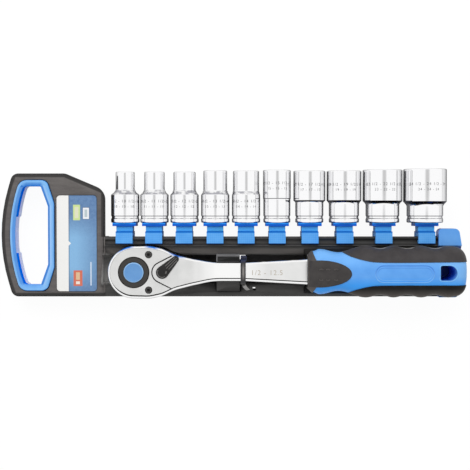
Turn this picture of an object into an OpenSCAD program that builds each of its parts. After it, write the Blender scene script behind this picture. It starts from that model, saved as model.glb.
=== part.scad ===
// Socket wrench set in a carrying tray: ten sockets on sliding clips and a reversible ratchet.
// The tray lies on its back on the XY plane, its front faces +Z and its long side runs along X.

/* [Whole set] */
// Gap left between fixed pieces that are pushed into each other
seat_gap = 0.15; // [0.1:0.05:0.3]
// Gap left between pieces that move past each other
move_gap = 0.35; // [0.3:0.05:0.6]
// Radial running gap of a shaft in its hole
run_gap = 0.05; // [0.02:0.01:0.08]

/* [Tray] */
// Height of the front face above the surface the tray lies on
tray_h = 24; // [22:0.5:26]
// Wall of the tray moulding
tray_wall = 2.4; // [1.8:0.1:3]
// Thickness of the ribs between the pockets in its back
rib_t = 1.8; // [1.2:0.1:2.4]
// Depth from the front face down to the ledge beside the trough
ledge_drop = 2; // [1:0.5:3]
// Height of the trough floor
trough_floor_z = 8; // [7.5:0.5:9]
// Width of the trough
trough_w = 21.6; // [20:0.2:24]
// Width of the wall below the trough
foot_w = 10.6; // [9:0.1:12]
// Width of the front bevel round the handle plate
bevel = 1.4; // [0.6:0.1:2]
// Distance from the foot of the set to the lower edge of the tray
foot_drop = 0.4; // [0:0.1:1]

/* [Handle plate] */
// Length of the handle plate, from the left edge to the start of the rail
plate_l = 80.3; // [78:0.1:86]
// Height of the handle plate along Y
plate_w = 95.3; // [92:0.1:98]
// Length of the straight stretch between the left side's bulge and each of its corners
side_straight = 7.3; // [3:0.1:10]
// Angle at which the left side leans away from its middle
bulge_angle = 16.5; // [12:0.5:20]
// Length of the straight top edge that is cut off by the sloping shoulder
shoulder_l = 30.9; // [26:0.1:36]
// Drop of the sloping shoulder
shoulder_drop = 13.1; // [8:0.1:18]
// Rounding of the plate's left corners
plate_corner = 6; // [4:0.5:8]
// Gap between the handle plate's right side and the ratchet's head
head_gap = 4.1; // [3:0.1:6]

/* [Grip ring] */
// Width of the ring's band
ring_band = 4.2; // [3.4:0.1:5]
// Distance from the left edge of the tray to the ring
ring_inset = 6.8; // [6:0.1:8]
// Length of the ring along X
ring_l = 34.6; // [33.6:0.1:36]
// Rounding of the ring's left corners
ring_corner = 8; // [6:0.5:9]
// Distance from the lower edge of the tray to the ring
ring_foot = 4.3; // [3.6:0.1:6]
// Distance from the upper edge of the tray to the ring
ring_top = 4.9; // [3.6:0.1:6]
// Length of the straight stretch between the ring's bulge and each of its left corners
ring_straight = 2.7; // [1:0.1:6]
// How far the ring stands out of the front face
ring_proud = 1.4; // [0.6:0.1:2]

/* [Label card] */
// Length of the card along X
card_l = 31; // [28:0.1:31]
// Distance from the lower edge of the tray to the card
card_foot = 4.1; // [3.5:0.1:6]
// Distance from the upper edge of the tray to the card
card_top = 17; // [15:0.1:24]
// Thickness of the card
card_t = 0.7; // [0.4:0.1:1]
// Gap between the ring and the card
card_inset = 1.4; // [1:0.1:2]
// Depth of the recess the card lies in
card_recess = 1; // [0.8:0.1:1.5]

/* [Rail and clips] */
// Distance from the top of the trough to the foot of the rail
ledge_w = 7; // [6.5:0.1:8]
// Width of the rail along Y
rail_w = 7.1; // [6.6:0.1:8]
// Thickness of the rail
rail_t = 13; // [12:0.1:14]
// Depth of the grooves in the rail's front and back
groove_d = 2.2; // [1.6:0.1:2.6]
// Width of the grooves along Y
groove_w = 3.6; // [3:0.1:4]
// Distance from the top of the rail to the grooves
groove_drop = 2.2; // [1.8:0.1:2.6]
// Side of the square flange under a socket
flange_w = 17.9; // [16.5:0.1:19]
// Thickness of the flange
flange_t = 2.6; // [2:0.1:3]
// Side of the neck under the flange
neck_w = 12.6; // [11:0.1:14]
// Height of the neck between the bridge and the flange
neck_h = 4.15; // [3:0.05:5]
// Width of the plates that grip the rail
plate_clip_w = 13; // [11.5:0.1:14]
// Thickness of those plates
plate_clip_t = 2.5; // [2:0.1:3]
// Height of the block that bridges the rail
bridge_h = 3.8; // [3:0.1:4.6]
// Length of the square stud that holds the socket
stud_l = 12; // [9:0.5:13.5]
// Free travel of the last clip before the end cap
last_play = 2.7; // [2:0.1:6]

/* [Sockets] */
// Side of the square drive
drive = 12.7; // [12.6:0.05:12.8]
// Gap round a square stud in its socket
drive_gap = 0.2; // [0.15:0.05:0.3]
// Depth of the square hole
drive_depth = 15.5; // [14.5:0.5:16]
// Hexagon sizes across flats
hex_sizes = [10, 11, 12, 13, 14, 15, 17, 19, 22, 24];
// Length of each socket
socket_l = [39.4, 39.4, 39.4, 40.4, 40.2, 40.8, 40.2, 40.2, 41, 41.6];
// Diameter of the hexagon end
nose_d = [14.8, 15.9, 17.3, 18.5, 20.3, 21.6, 24.8, 26.9, 30.7, 33.4];
// Diameter of the drive end
tail_d = [22, 22, 22, 22, 22, 21, 21.8, 23.4, 26, 28];
// Distance from the drive end to the shoulder
shoulder_at = [21.9, 21.9, 21.9, 21.9, 21.9, 18.2, 15.8, 14.9, 14.4, 13.3];
// Height of the cone at the shoulder
cone_h = [3.5, 3.5, 3.2, 2.8, 2.2, 0.6, 1.4, 2.3, 2.5, 3.1];
// Free space between neighbouring sockets, from the left
socket_gaps = [0.8, 1.4, 1.9, 2, 2.2, 2.1, 1.1, 1.2, 1];
// Play of a nut in the hexagon
hex_play = 0.2; // [0.1:0.05:0.3]
// Depth of the hexagon
hex_depth = 14; // [10:0.5:15]
// Distance from the drive end to the groove round it
ring_groove_at = 5.3; // [4.5:0.1:6.5]
// Depth of that groove
ring_groove_d = 0.6; // [0.3:0.05:0.8]
// Chamfer of the socket's ends
socket_chamfer = 0.7; // [0.3:0.1:1]
// Distance from the handle plate to the first socket
first_gap = 4; // [3:0.1:6]

/* [End cap] */
// Length of the cap along X
cap_l = 19.1; // [18:0.1:20]
// Height of the cap's front face
cap_h = 26.5; // [25:0.1:28]
// Thickness of the cap where it stands above the rail
cap_lip_t = 10.5; // [8:0.1:12]
// How far the cap reaches above the rail
cap_over = 6.4; // [5:0.1:6.6]
// How much the cap narrows towards its top and foot
cap_taper = 3.5; // [1:0.1:5]

/* [Ratchet] */
// Radius of the head
head_r = 19.8; // [19.2:0.1:20.2]
// Height of the head's underside above the tray's foot
head_z = 19; // [18.5:0.1:20]
// Thickness of the head
head_t = 23; // [22:0.1:24]
// Thickness of the shank
shank_t = 11; // [9:0.1:12]
// Half the width of the shank at its slimmest
shank_half = 7.3; // [6.6:0.1:7.6]
// Length from the centre of the head to the end of the bare shank
shank_l = 131.9; // [128:0.1:134]
// Length of the grip, from the end of the bare shank to the butt
grip_l = 121.5; // [118:0.1:126]
// Radius of the tang inside the handle
tang_r = 4.5; // [3.5:0.1:5]
// Length of the tang inside the handle
tang_l = 62; // [40:1:80]
// Thickness of the cover plate
cover_t = 2.1; // [1.6:0.1:2.6]
// Distance from the head's side to the cover plate's edge
cover_inset = 1; // [0.6:0.1:1.5]
// Length of the cover plate from the head's centre
cover_l = 33; // [30:0.1:35]
// Gap round the head where it sinks into the tray
head_room = 0.6; // [0.4:0.1:1]
// Radius of the cover screws' heads
screw_head_r = 2.5; // [2:0.1:3]
// Radius of the cover screws' shafts
screw_r = 1.4; // [1.1:0.1:1.6]
// Length of the cover screws below the plate
screw_l = 8; // [6:0.5:12]
// Radius of the circle the screws stand on
screw_circle_r = 17.5; // [17:0.05:17.7]
// Angle of the screws from the head's axis
screw_angle = 50; // [45:0.5:54]

/* [Ratchet drive] */
// Number of teeth on the drive gear
gear_teeth = 72; // [72:72:72]
// Radius of the gear over its teeth
gear_r = 13.9; // [13.7:0.05:14]
// Depth of the gear's teeth
tooth_d = 0.8; // [0.6:0.05:0.9]
// Radius of the hub seen through the cover plate
hub_r = 11.2; // [10.6:0.1:11.6]
// Radius of the gear's lower bearing
journal_r = 9.5; // [9.3:0.1:10.5]
// Length of the square anvil below the head
anvil_l = 16; // [14:0.5:16]
// Radius of the release button
button_r = 7.7; // [7:0.1:8.2]
// How far the release button can be pressed
button_travel = 3; // [2.5:0.1:3.2]
// How far the button stands out of the hub
button_proud = 1.3; // [0.6:0.1:2]
// Radius of the release pin
pin_r = 2.2; // [2:0.05:2.25]
// Radius of the detent ball
ball_r = 2.4; // [2.2:0.1:2.5]
// How far the detent ball stands out of the anvil
ball_proud = 0.9; // [0.7:0.05:1]
// Distance from the head's centre to the lever's pivot
lever_at = 21.7; // [21.4:0.1:22]
// Radius of the lever's shaft
lever_shaft_r = 3.5; // [3.2:0.1:3.7]
// Radius of the lever's boss
lever_boss_r = 4.7; // [4.3:0.1:5.2]
// Length of the lever from its pivot to its tip
lever_l = 14.3; // [12:0.1:15]
// Angle of the lever to the shank
lever_angle = 45; // [40:1:50]
// Swing of the pawl from one hand of drive to the other
pawl_swing = 7; // [6.8:0.1:7.4]

/* [Handle] */
// Half the width of the grip at its ridges
grip_half = 19.9; // [19:0.1:20]
// Half the thickness of the grip
grip_half_t = 15; // [14:0.1:15.5]
// Half the width of the bare stripe along the grip
stripe_half = 8.9; // [7:0.1:10]
// Thickness of the soft grip over the core
grip_skin = 2.6; // [1.8:0.1:3.2]
// Length of the collar at the front of the handle
collar_l = 3.5; // [2.5:0.1:5]
// Depth of the ridges on the grip
ridge_d = 1.4; // [0.6:0.1:2]
// Distance between the ridges
ridge_pitch = 21; // [18:0.5:24]
// Length of the thumb pad
pad_l = 28.2; // [24:0.1:30]
// Half the width of the thumb pad
pad_half = 10.5; // [9:0.1:11]
// Thickness of the thumb pad
pad_t = 1.4; // [1:0.1:2]
// Length of the hanging hole
hang_l = 13.2; // [11:0.1:14]
// Width of the hanging hole
hang_w = 11.8; // [10:0.1:12.4]
// Distance from the butt to the hanging hole
hang_back = 8.4; // [7.5:0.1:10]

/* [Tie] */
// Width of the tie round the shank
tie_w = 3.9; // [3:0.1:4.4]
// Thickness of the tie
tie_t = 1.1; // [0.8:0.1:1.3]
// Distance from the head's centre to the tie
tie_at = 82.8; // [82.4:0.1:83.5]

/* [Hidden] */
$fn = 64;

// Cuts run this far past the faces they cut
over = 1;
far = 400;

// Places along X
set_l = plate_l + head_gap + head_r + shank_l + grip_l;
left_x = -set_l / 2;
butt_x = set_l / 2;
rail_x0 = left_x + plate_l;
rail_x1 = socket_x(len(hex_sizes) - 1) + plate_clip_w / 2 + last_play;
ring_x0 = left_x + ring_inset;
ring_x1 = ring_x0 + ring_l;
card_x0 = ring_x1 + card_inset;

// Places along Y, from the foot of the set upwards
longest = max(socket_l);
seat_drop = trough_w + ledge_w + rail_w + move_gap + bridge_h + neck_h + flange_t;
set_w = foot_drop + foot_w + seat_drop + longest;
foot_y = -set_w / 2;
tray_y0 = foot_y + foot_drop;
trough_y0 = tray_y0 + foot_w;
trough_y1 = trough_y0 + trough_w;
rail_y0 = trough_y1 + ledge_w;
rail_y1 = rail_y0 + rail_w;
plate_y1 = tray_y0 + plate_w;
plate_mid_y = (tray_y0 + plate_y1) / 2;
axis_y = trough_y0 + 9.2;
ring_y0 = tray_y0 + ring_foot;
ring_y1 = plate_y1 - ring_top;
card_y0 = tray_y0 + card_foot;
card_y1 = plate_y1 - card_top;
seat_y = trough_y0 + seat_drop;

// Heights
ledge_z = tray_h - ledge_drop;
rail_z0 = tray_h - rail_t;
row_z = tray_h - rail_t / 2;
axis_z = head_z + head_t / 2 - 0.5;
face_z = head_z + head_t;
cover_z = face_z - cover_t;
shank_z0 = axis_z - shank_t / 2;
shank_z1 = axis_z + shank_t / 2;

// Sockets along the rail
function socket_r(i) = max(nose_d[i], tail_d[i]) / 2;
function socket_x(i) = i == 0
    ? rail_x0 + first_gap + socket_r(0)
    : socket_x(i - 1) + socket_r(i - 1) + socket_gaps[i - 1] + socket_r(i);

// The ratchet lies along the trough, its head next to the handle plate
head_x = rail_x0 + head_gap + head_r;
shank_x1 = head_x + shank_l;
lever_x = head_x + lever_at;
tie_x = head_x + tie_at;

// Points of a circular arc about c from angle a0 to a1 in n steps
function arc(c, r, a0, a1, n) =
    [for (i = [0:n]) c + r * [cos(a0 + (a1 - a0) * i / n), sin(a0 + (a1 - a0) * i / n)]];

// Unit vector, and the point list of one rounded corner q between p and s
function unit(v) = v / norm(v);
function corner(p, q, s, r, n) =
    let (
        a = unit(p - q),
        b = unit(s - q),
        half = acos(a * b) / 2,
        reach = r / tan(half),
        mid = unit(a + b),
        c = q + mid * r / sin(half),
        from = q + a * reach - c,
        to = q + b * reach - c,
        a0 = atan2(from[1], from[0]),
        turn0 = atan2(to[1], to[0]) - a0,
        turn = turn0 > 180 ? turn0 - 360 : turn0 < -180 ? turn0 + 360 : turn0
    )
    arc(c, r, a0, a0 + turn, n);

// Outline through corners [x, y, radius], with every corner that has a radius rounded
function rounded(pts, n = 8) =
    let (m = len(pts))
    [for (i = [0:m - 1])
        let (
            p = pts[(i + m - 1) % m],
            q = pts[i],
            s = pts[(i + 1) % m]
        )
        each q[2] == 0
            ? [[q[0], q[1]]]
            : corner([p[0], p[1]], [q[0], q[1]], [s[0], s[1]], q[2], n)];

// Box from its lowest to its highest corner
module block(low, high) {
    translate(low) cube(high - low);
}

// Outline extruded from one height to another
module slab(z0, z1) {
    translate([0, 0, z0]) linear_extrude(z1 - z0) children();
}

// Outline in the YZ plane, pushed along X
module along_x(x0, x1) {
    translate([x0, 0, 0]) rotate([90, 0, 90]) linear_extrude(x1 - x0) children();
}

// Outline in the XZ plane, pushed along Y
module along_y(y0, y1) {
    translate([0, y1, 0]) rotate([90, 0, 0]) linear_extrude(y1 - y0) children();
}

// Radius that makes a side of that half height bulge, with a straight stretch before each corner
function bulge_r(half, corner_r, straight) =
    (half / cos(bulge_angle) - corner_r * tan(45 - bulge_angle / 2) - straight) / tan(bulge_angle);

// Left side that bulges about y, as three corners: its foot, its middle and its top
function bulging_side(x, y0, y1, mid, r, corner_r) =
    let (
        tip = x - r * (1 / cos(bulge_angle) - 1),
        lean = tan(bulge_angle)
    )
    [[tip + (mid - y0) * lean, y0, corner_r], [tip, mid, r], [tip + (y1 - mid) * lean, y1, corner_r]];

// Outline of the handle plate, drawn in by d
module plate_outline(d) {
    x1 = rail_x0 - d;
    y0 = tray_y0 + d;
    y1 = plate_y1 - d;
    r = bulge_r(plate_w / 2, plate_corner, side_straight);
    side = bulging_side(left_x + d, y0, y1, plate_mid_y, r - d, plate_corner - d / 2);
    polygon(rounded(concat(
        [side[2], side[1], side[0]],
        [[x1, y0, 1], [x1, y1 - shoulder_drop, 11 - d], [x1 - shoulder_l, y1, 8]])));
}

// Outline of the grip ring, drawn in by d
module ring_outline(d) {
    x1 = ring_x1 - d;
    y0 = ring_y0 + d;
    y1 = ring_y1 - d;
    r = bulge_r(ring_y1 - plate_mid_y, ring_corner, ring_straight);
    side = bulging_side(ring_x0 + d, y0, y1, plate_mid_y, r - d, ring_corner - d / 2);
    cut_x = 5.6;
    cut_y = 18 - d / 2;
    polygon(rounded(concat(
        [side[2], side[1], side[0]],
        [[x1 - cut_x, y0, 6], [x1, y0 + cut_y, 9], [x1, y1 - cut_y, 9], [x1 - cut_x, y1, 6]])));
}

// Outline of the card, grown by d
module card_outline(d) {
    x0 = card_x0 - d;
    x1 = card_x0 + card_l + d;
    y0 = card_y0 - d;
    y1 = card_y1 + d;
    r = 2.6 + d;
    polygon(rounded([[x0, y0, r], [x1, y0, r], [x1, y1, r], [x0, y1, r]]));
}

// Outline of the ratchet's head and shank, grown by d, up to u from the head's centre
module ratchet_plan(d, u) {
    side = [[12, head_r + 0.3, 25], [21.5, head_r - 1.8, 20], [31, 13.4, 30], [44, 10.3, 50],
        [60, shank_half - 0.1, 60], [84, shank_half - 0.1, 90], [shank_l, 9.8, 0]];
    last = len(side) - 1;
    nose = [for (p = arc([0, 0], head_r + d, 90, 270, 40)) [p[0], p[1], 0]];
    translate([head_x, axis_y]) intersection() {
        polygon(rounded(concat(nose,
            [for (p = side) [p[0], -p[1] - d, p[2]]],
            [for (i = [last:-1:0]) [side[i][0], side[i][1] + d, side[i][2]]])));
        translate([-far / 2, -far / 2]) square([far / 2 + u, far]);
    }
}

// Half the width of the grip at x, with its wings, waist and ridges
grip_x0 = shank_x1 + collar_l;
wing_x = grip_x0 + 6;
waist_x = grip_x0 + 19.5;
ridge_x = grip_x0 + 41.7;
butt_round = 9;
function blend(x, x0, x1, a, b) = a + (b - a) * (1 - cos(180 * (x - x0) / (x1 - x0))) / 2;
function ridge(x) = grip_half - ridge_d / 2 + ridge_d / 2 * cos(360 * (x - ridge_x) / ridge_pitch);
function grip_w(x) =
    x < wing_x ? blend(x, grip_x0, wing_x, grip_half - 4.2, grip_half - 2.1)
    : x < waist_x ? blend(x, wing_x, waist_x, grip_half - 2.1, grip_half - 4.4)
    : x < ridge_x ? blend(x, waist_x, ridge_x, grip_half - 4.4, grip_half)
    : x < butt_x - butt_round ? ridge(x)
    : ridge(butt_x - butt_round) - 8 * pow((x - butt_x + butt_round) / butt_round, 2);

// Half the thickness of the grip at x
function grip_t(x) =
    x < waist_x ? blend(x, grip_x0, waist_x, grip_half_t - 1, grip_half_t - 1.8)
    : x < ridge_x ? blend(x, waist_x, ridge_x, grip_half_t - 1.8, grip_half_t)
    : x < butt_x - butt_round ? grip_half_t
    : grip_half_t - 5 * pow((x - butt_x + butt_round) / butt_round, 2);

// Grip drawn in by d: its plan, its side view and its oval section together
grip_steps = 60;
module grip_form(d) {
    xs = [for (i = [0:grip_steps]) grip_x0 + (butt_x - d - grip_x0) * i / grip_steps];
    intersection() {
        slab(0, far) polygon(concat(
            [for (x = xs) [x, axis_y + grip_w(x) - d]],
            [for (i = [grip_steps:-1:0]) [xs[i], axis_y - grip_w(xs[i]) + d]]));
        along_y(axis_y - far / 2, axis_y + far / 2) polygon(concat(
            [for (x = xs) [x, axis_z + grip_t(x) - d]],
            [for (i = [grip_steps:-1:0]) [xs[i], axis_z - grip_t(xs[i]) + d]]));
        along_x(grip_x0, butt_x) oval(grip_half - d, grip_half_t - d);
    }
}

// Oval section about the ratchet's axis, in the YZ plane
module oval(a, b) {
    n = 56;
    polygon([for (i = [0:n - 1]) [axis_y + a * cos(360 * i / n), axis_z + b * sin(360 * i / n)]]);
}

// ---- Tray and what is fixed to it ----

jaw_x0 = tie_x - 20.4;
jaw_x1 = tie_x - 2.5;
jaw_play = shank_half + move_gap;
tongue_l = 11;
tongue_z0 = 2.4;
tongue_z1 = 7;
tongue_y0 = tray_y0 + 5;
tongue_y1 = rail_y0 - 3;

// One row of pockets that core out the back, with ribs between them
module back_pockets(x0, x1, y0, y1, z1, n) {
    pitch = (x1 - x0 + rib_t) / n;
    for (i = [0:n - 1]) {
        block([x0 + i * pitch, y0, -over], [x0 + (i + 1) * pitch - rib_t, y1, z1]);
    }
}

module tray() {
    color([0.27, 0.26, 0.26]) difference() {
        union() {
            slab(0, tray_h - bevel) plate_outline(0);
            slab(tray_h - bevel - 0.01, tray_h) plate_outline(bevel);
            block([rail_x0 - over, tray_y0, 0], [rail_x1, rail_y0, ledge_z]);
            rail();
            jaws();
            block([rail_x1 - over, tongue_y0, tongue_z0], [rail_x1 + tongue_l, tongue_y1, tongue_z1]);
        }
        slab(-over, tray_h + over) ring_outline(-seat_gap);
        slab(tray_h - card_recess, tray_h + over) card_outline(0.4);
        trough();
        slots();
        cored_back();
    }
}

// Rail with a groove along its front and its back
module rail() {
    difference() {
        block([rail_x0 - over, rail_y0 - over, rail_z0], [rail_x1, rail_y1, tray_h]);
        groove_y1 = rail_y1 - groove_drop;
        for (z = [rail_z0 - over, tray_h - groove_d]) {
            block([rail_x0, groove_y1 - groove_w, z], [rail_x1 + over, groove_y1, z + groove_d + over]);
        }
        block([rail_x0, rail_y0 - 2 * over, ledge_z], [rail_x1 + over, rail_y0 - 0.01, tray_h + over]);
    }
}

// Jaws that hold the shank between them
module jaws() {
    block([jaw_x0, axis_y + jaw_play, trough_floor_z - over], [jaw_x1, trough_y1 + over, axis_z + 4]);
    block([jaw_x0, axis_y - jaw_play - 7.5, trough_floor_z - over], [jaw_x1, axis_y - jaw_play, axis_z - 2]);
}

// Bed of the ratchet: trough, head pocket, anvil well and grip saddle
module trough() {
    difference() {
        block([rail_x0 - 2.2, trough_y0, trough_floor_z], [rail_x1 + over, trough_y1, far]);
        block([jaw_x0, trough_y0 - over, 0], [jaw_x1, axis_y - jaw_play, far]);
        block([jaw_x0, axis_y + jaw_play, 0], [jaw_x1, trough_y1 + over, far]);
    }
    slab(head_z - move_gap, far) ratchet_plan(head_room, cover_l + 7);
    translate([head_x, axis_y, tray_wall]) cylinder(r = journal_r + 2, h = far);
    along_x(shank_x1 - 2, rail_x1 + tongue_l + over) oval(grip_half + 0.5, grip_half_t + move_gap);
}

// Slots beside the tie, and the slit that lets the lower jaw flex
module slots() {
    slit = 0.8;
    jaw_foot = axis_y - jaw_play - 7.5;
    for (y = [trough_y1 - 4.4, trough_y0 + 0.6]) {
        block([tie_x - tie_w / 2 - 1, y, -over], [tie_x + tie_w / 2 + 0.4, y + 3.8, trough_floor_z + over]);
    }
    block([tie_x + 7.5, trough_y0 - 6, -over], [tie_x + 10, trough_y0 - 3.4, far]);
    block([jaw_x0 - slit, jaw_foot - slit, trough_floor_z + 6], [jaw_x1 + slit, jaw_foot, far]);
    for (x = [jaw_x0 - slit, jaw_x1]) {
        block([x, jaw_foot - slit, trough_floor_z + 6], [x + slit, trough_y0 + over, far]);
    }
}

// Pockets in the back that leave the moulding a shell with ribs
module cored_back() {
    floor_z = trough_floor_z - tray_wall;
    front_z = tray_h - card_recess - tray_wall;
    plate_x0 = ring_x1 + 2;
    plate_x1 = rail_x0 - 2.2 - tray_wall;
    pocket_w = (card_y1 - card_y0 - 4 * rib_t) / 3;
    for (i = [0:2]) {
        y = card_y0 + rib_t + i * (pocket_w + rib_t);
        back_pockets(plate_x0, plate_x1, y, y + pocket_w, front_z, 1);
    }
    back_pockets(tie_x + 12, rail_x1 - tray_wall, trough_y0 + 1, trough_y1 - 1, floor_z, 3);
}

module grip_ring() {
    color([0.32, 0.58, 0.92]) difference() {
        union() {
            slab(over, tray_h + ring_proud - 0.8) ring_outline(0);
            slab(tray_h + ring_proud - 0.81, tray_h + ring_proud) ring_outline(0.8);
        }
        slab(-over, far) ring_outline(ring_band);
        slab(tray_h + ring_proud - 0.8, far) ring_outline(ring_band - 0.8);
    }
}

module label_card() {
    z0 = tray_h - card_recess;
    color([0.45, 0.68, 0.88]) slab(z0, z0 + card_t) card_outline(0);
}

module end_cap() {
    x1 = rail_x1 + cap_l;
    top_y = rail_y1 + cap_over;
    mid_y = axis_y + 6;
    color([0.36, 0.62, 0.93]) difference() {
        slab(0, cap_h) polygon(rounded([
            [rail_x1, foot_y, 1], [x1 - cap_taper, foot_y, 4], [x1, mid_y - 6, 12],
            [x1, mid_y + 6, 12], [x1 - cap_taper, top_y, 4], [rail_x1, top_y, 3]]));
        block([rail_x1 - over, tongue_y0 - seat_gap, tongue_z0 - seat_gap],
            [rail_x1 + tongue_l + seat_gap, tongue_y1 + seat_gap, tongue_z1 + seat_gap]);
        along_x(rail_x1 - over, x1 + over) oval(grip_half + 0.5, grip_half_t + move_gap);
        block([rail_x1 - over, rail_y1 + 0.4, -over], [x1 + over, top_y + over, cap_h - cap_lip_t]);
        block([rail_x1 - over, axis_y - hang_w / 2 - 1, tongue_z1 + tray_wall],
            [butt_x - hang_back + 1, axis_y + hang_w / 2 + 1, far]);
    }
}

// ---- Clips and sockets ----

// Clip number i, its plates hooked into the rail's grooves
module clip(i) {
    x = socket_x(i);
    block_y0 = rail_y1 + move_gap;
    block_y1 = block_y0 + bridge_h;
    outer = rail_t / 2 + move_gap + plate_clip_t;
    inner = rail_t / 2 + move_gap;
    hook_y1 = rail_y1 - groove_drop - move_gap;
    hook_y0 = hook_y1 - groove_w + 2 * move_gap;
    neck_y1 = seat_y - flange_t;
    half = plate_clip_w / 2;
    color([0.36, 0.66, 0.97]) translate([x, 0, row_z]) {
        block([-half, block_y0, -outer], [half, block_y1, outer]);
        block([-neck_w / 2, block_y1 - over, -neck_w / 2], [neck_w / 2, neck_y1 + 0.1, neck_w / 2]);
        block([-flange_w / 2, neck_y1, -flange_w / 2], [flange_w / 2, seat_y, flange_w / 2]);
        stud = drive / 2 - drive_gap;
        block([-stud, seat_y - 0.1, -stud], [stud, seat_y + stud_l, stud]);
        for (side = [-1, 1]) {
            plate_z = side > 0 ? inner : -outer;
            hook_z = side > 0 ? inner - groove_d : -inner;
            block([-half, hook_y0, plate_z], [half, block_y0 + 0.1, plate_z + plate_clip_t]);
            block([-half, hook_y0, hook_z + (side > 0 ? 0 : -0.1)],
                [half, hook_y1, hook_z + groove_d + (side > 0 ? 0.1 : 0)]);
        }
    }
}

// Socket number i, its drive end seated on the clip's flange
module socket(i) {
    l = socket_l[i];
    nr = nose_d[i] / 2;
    tr = tail_d[i] / 2;
    s0 = shoulder_at[i];
    s1 = s0 + cone_h[i];
    g = ring_groove_at;
    c = socket_chamfer;
    af = hex_sizes[i] + hex_play;
    hole = drive / 2 + drive_gap / 2;
    color([0.85, 0.86, 0.88]) translate([socket_x(i), seat_y, row_z]) rotate([-90, 0, 0]) difference() {
        rotate_extrude($fn = 96) polygon([
            [0, 0], [tr - c, 0], [tr, c], [tr, g - ring_groove_d], [tr - ring_groove_d, g],
            [tr, g + ring_groove_d], [tr, s0], [nr, s1], [nr, l - c], [nr - c, l], [0, l]]);
        translate([0, 0, l - hex_depth]) cylinder(r = af / 2 / cos(30), h = hex_depth + over, $fn = 6);
        translate([0, 0, l - c]) cylinder(r1 = af / 2, r2 = af / 2 + c + over, h = c + over);
        translate([0, 0, drive_depth - over]) cylinder(r = min(af / 2 - 0.6, 5.8), h = l - drive_depth);
        block([-hole, -hole, -over], [hole, hole, drive_depth]);
    }
}

// ---- Ratchet ----

// Notch of the cover plate: an arc round the lever, opened towards the shank by its tangent lines
notch_r = 7.7;
notch_angle = 27;
module notch_plan(d) {
    r = notch_r - d;
    run = far * [cos(notch_angle), sin(notch_angle)];
    bow = arc([0, 0], r, 90 + notch_angle, 270 - notch_angle, 20);
    top = bow[0];
    translate([lever_x, axis_y])
        polygon(concat(bow, [[top[0] + run[0], -top[1] - run[1]], [top[0] + run[0], top[1] + run[1]]]));
}

// Outline of the cover plate, grown by d
module cover_outline(d) {
    difference() {
        ratchet_plan(d - cover_inset, shank_l);
        notch_plan(d);
        translate([head_x + cover_l + d, axis_y - far / 2]) square(far);
    }
}

// Side view of the head and shank, which thins from the head to the shank
module ratchet_side() {
    x0 = head_x - head_r - over;
    polygon(rounded([
        [x0, head_z, 0], [head_x + 25, head_z, 20], [head_x + 42, shank_z0, 20],
        [shank_x1, shank_z0, 0], [shank_x1, shank_z1, 0], [head_x + 55, shank_z1, 30],
        [head_x + 36, face_z, 20], [x0, face_z, 0]]));
}

gear_z0 = head_z + 3.1;
gear_z1 = cover_z - 0.3;
tooth_z0 = head_z + 5;
tooth_z1 = head_z + 17;
pocket_r = gear_r + 0.3;
pawl_z0 = tooth_z0 + 1;
pawl_z1 = tooth_z1 - 1;
pawl_mid_z = (pawl_z0 + pawl_z1) / 2;
pawl_hub_r = 7.4;
pawl_arm_r = gear_r + 4;
pawl_arm_angle = 36;
pawl_bare_from = 1.9;
pawl_bare_angle = 21;
plunger_r = 1.2;
plunger_tip = 5.2;
plunger_z = pawl_z1 - 2.4;
lever_foot_z = head_z + 2.2;

module ratchet_body() {
    color([0.85, 0.86, 0.87]) difference() {
        union() {
            intersection() {
                slab(0, far) ratchet_plan(0, shank_l);
                along_y(axis_y - far / 2, axis_y + far / 2) ratchet_side();
            }
            translate([shank_x1 - over, axis_y, axis_z]) rotate([0, 90, 0]) cylinder(r = tang_r, h = tang_l + over);
        }
        slab(cover_z, far) cover_outline(seat_gap);
        translate([head_x, axis_y, head_z + 3]) cylinder(r = pocket_r, h = far);
        translate([head_x, axis_y, 0]) cylinder(r = journal_r + run_gap, h = far);
        slab(pawl_z0 - 0.2, pawl_z1 + 0.2) pawl_room();
        translate([lever_x, axis_y, lever_foot_z - 0.2]) cylinder(r = lever_shaft_r + run_gap, h = far);
        for (side = [-1, 1]) {
            translate(screw_at(side)) cylinder(r = screw_r + seat_gap, h = far);
        }
    }
}

// Foot of each cover screw
function screw_at(side) =
    [head_x + screw_circle_r * cos(screw_angle), axis_y + side * screw_circle_r * sin(screw_angle),
        cover_z - screw_l];

// Room for the pawl to swing in
module pawl_room() {
    a = pawl_arm_angle + 6;
    translate([head_x, axis_y]) intersection() {
        circle(r = pawl_arm_r + 2.2);
        polygon([[0, 0], far * [cos(a), -sin(a)], [far, 0], far * [cos(a), sin(a)]]);
    }
    translate([lever_x, axis_y]) circle(r = pawl_hub_r + 0.4);
}

module cover_plate() {
    color([0.83, 0.84, 0.85]) difference() {
        slab(cover_z, face_z) cover_outline(0);
        translate([head_x, axis_y, 0]) cylinder(r = hub_r + 0.1, h = far);
        for (side = [-1, 1]) {
            translate(screw_at(side)) {
                cylinder(r = screw_r + seat_gap, h = far);
                translate([0, 0, screw_l + cover_t / 2]) cylinder(r = screw_head_r + seat_gap, h = far);
            }
        }
    }
}

module cover_screws() {
    key_r = screw_head_r * 0.55;
    color([0.2, 0.2, 0.2]) for (side = [-1, 1]) {
        translate(screw_at(side) + [0, 0, 0.3]) difference() {
            union() {
                cylinder(r = screw_r, h = screw_l + cover_t / 2);
                translate([0, 0, screw_l + cover_t / 2 - 0.3]) cylinder(r = screw_head_r, h = cover_t / 2);
            }
            translate([0, 0, screw_l + cover_t - 1.3]) cylinder(r = key_r, h = 4, $fn = 6);
        }
    }
}

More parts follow.
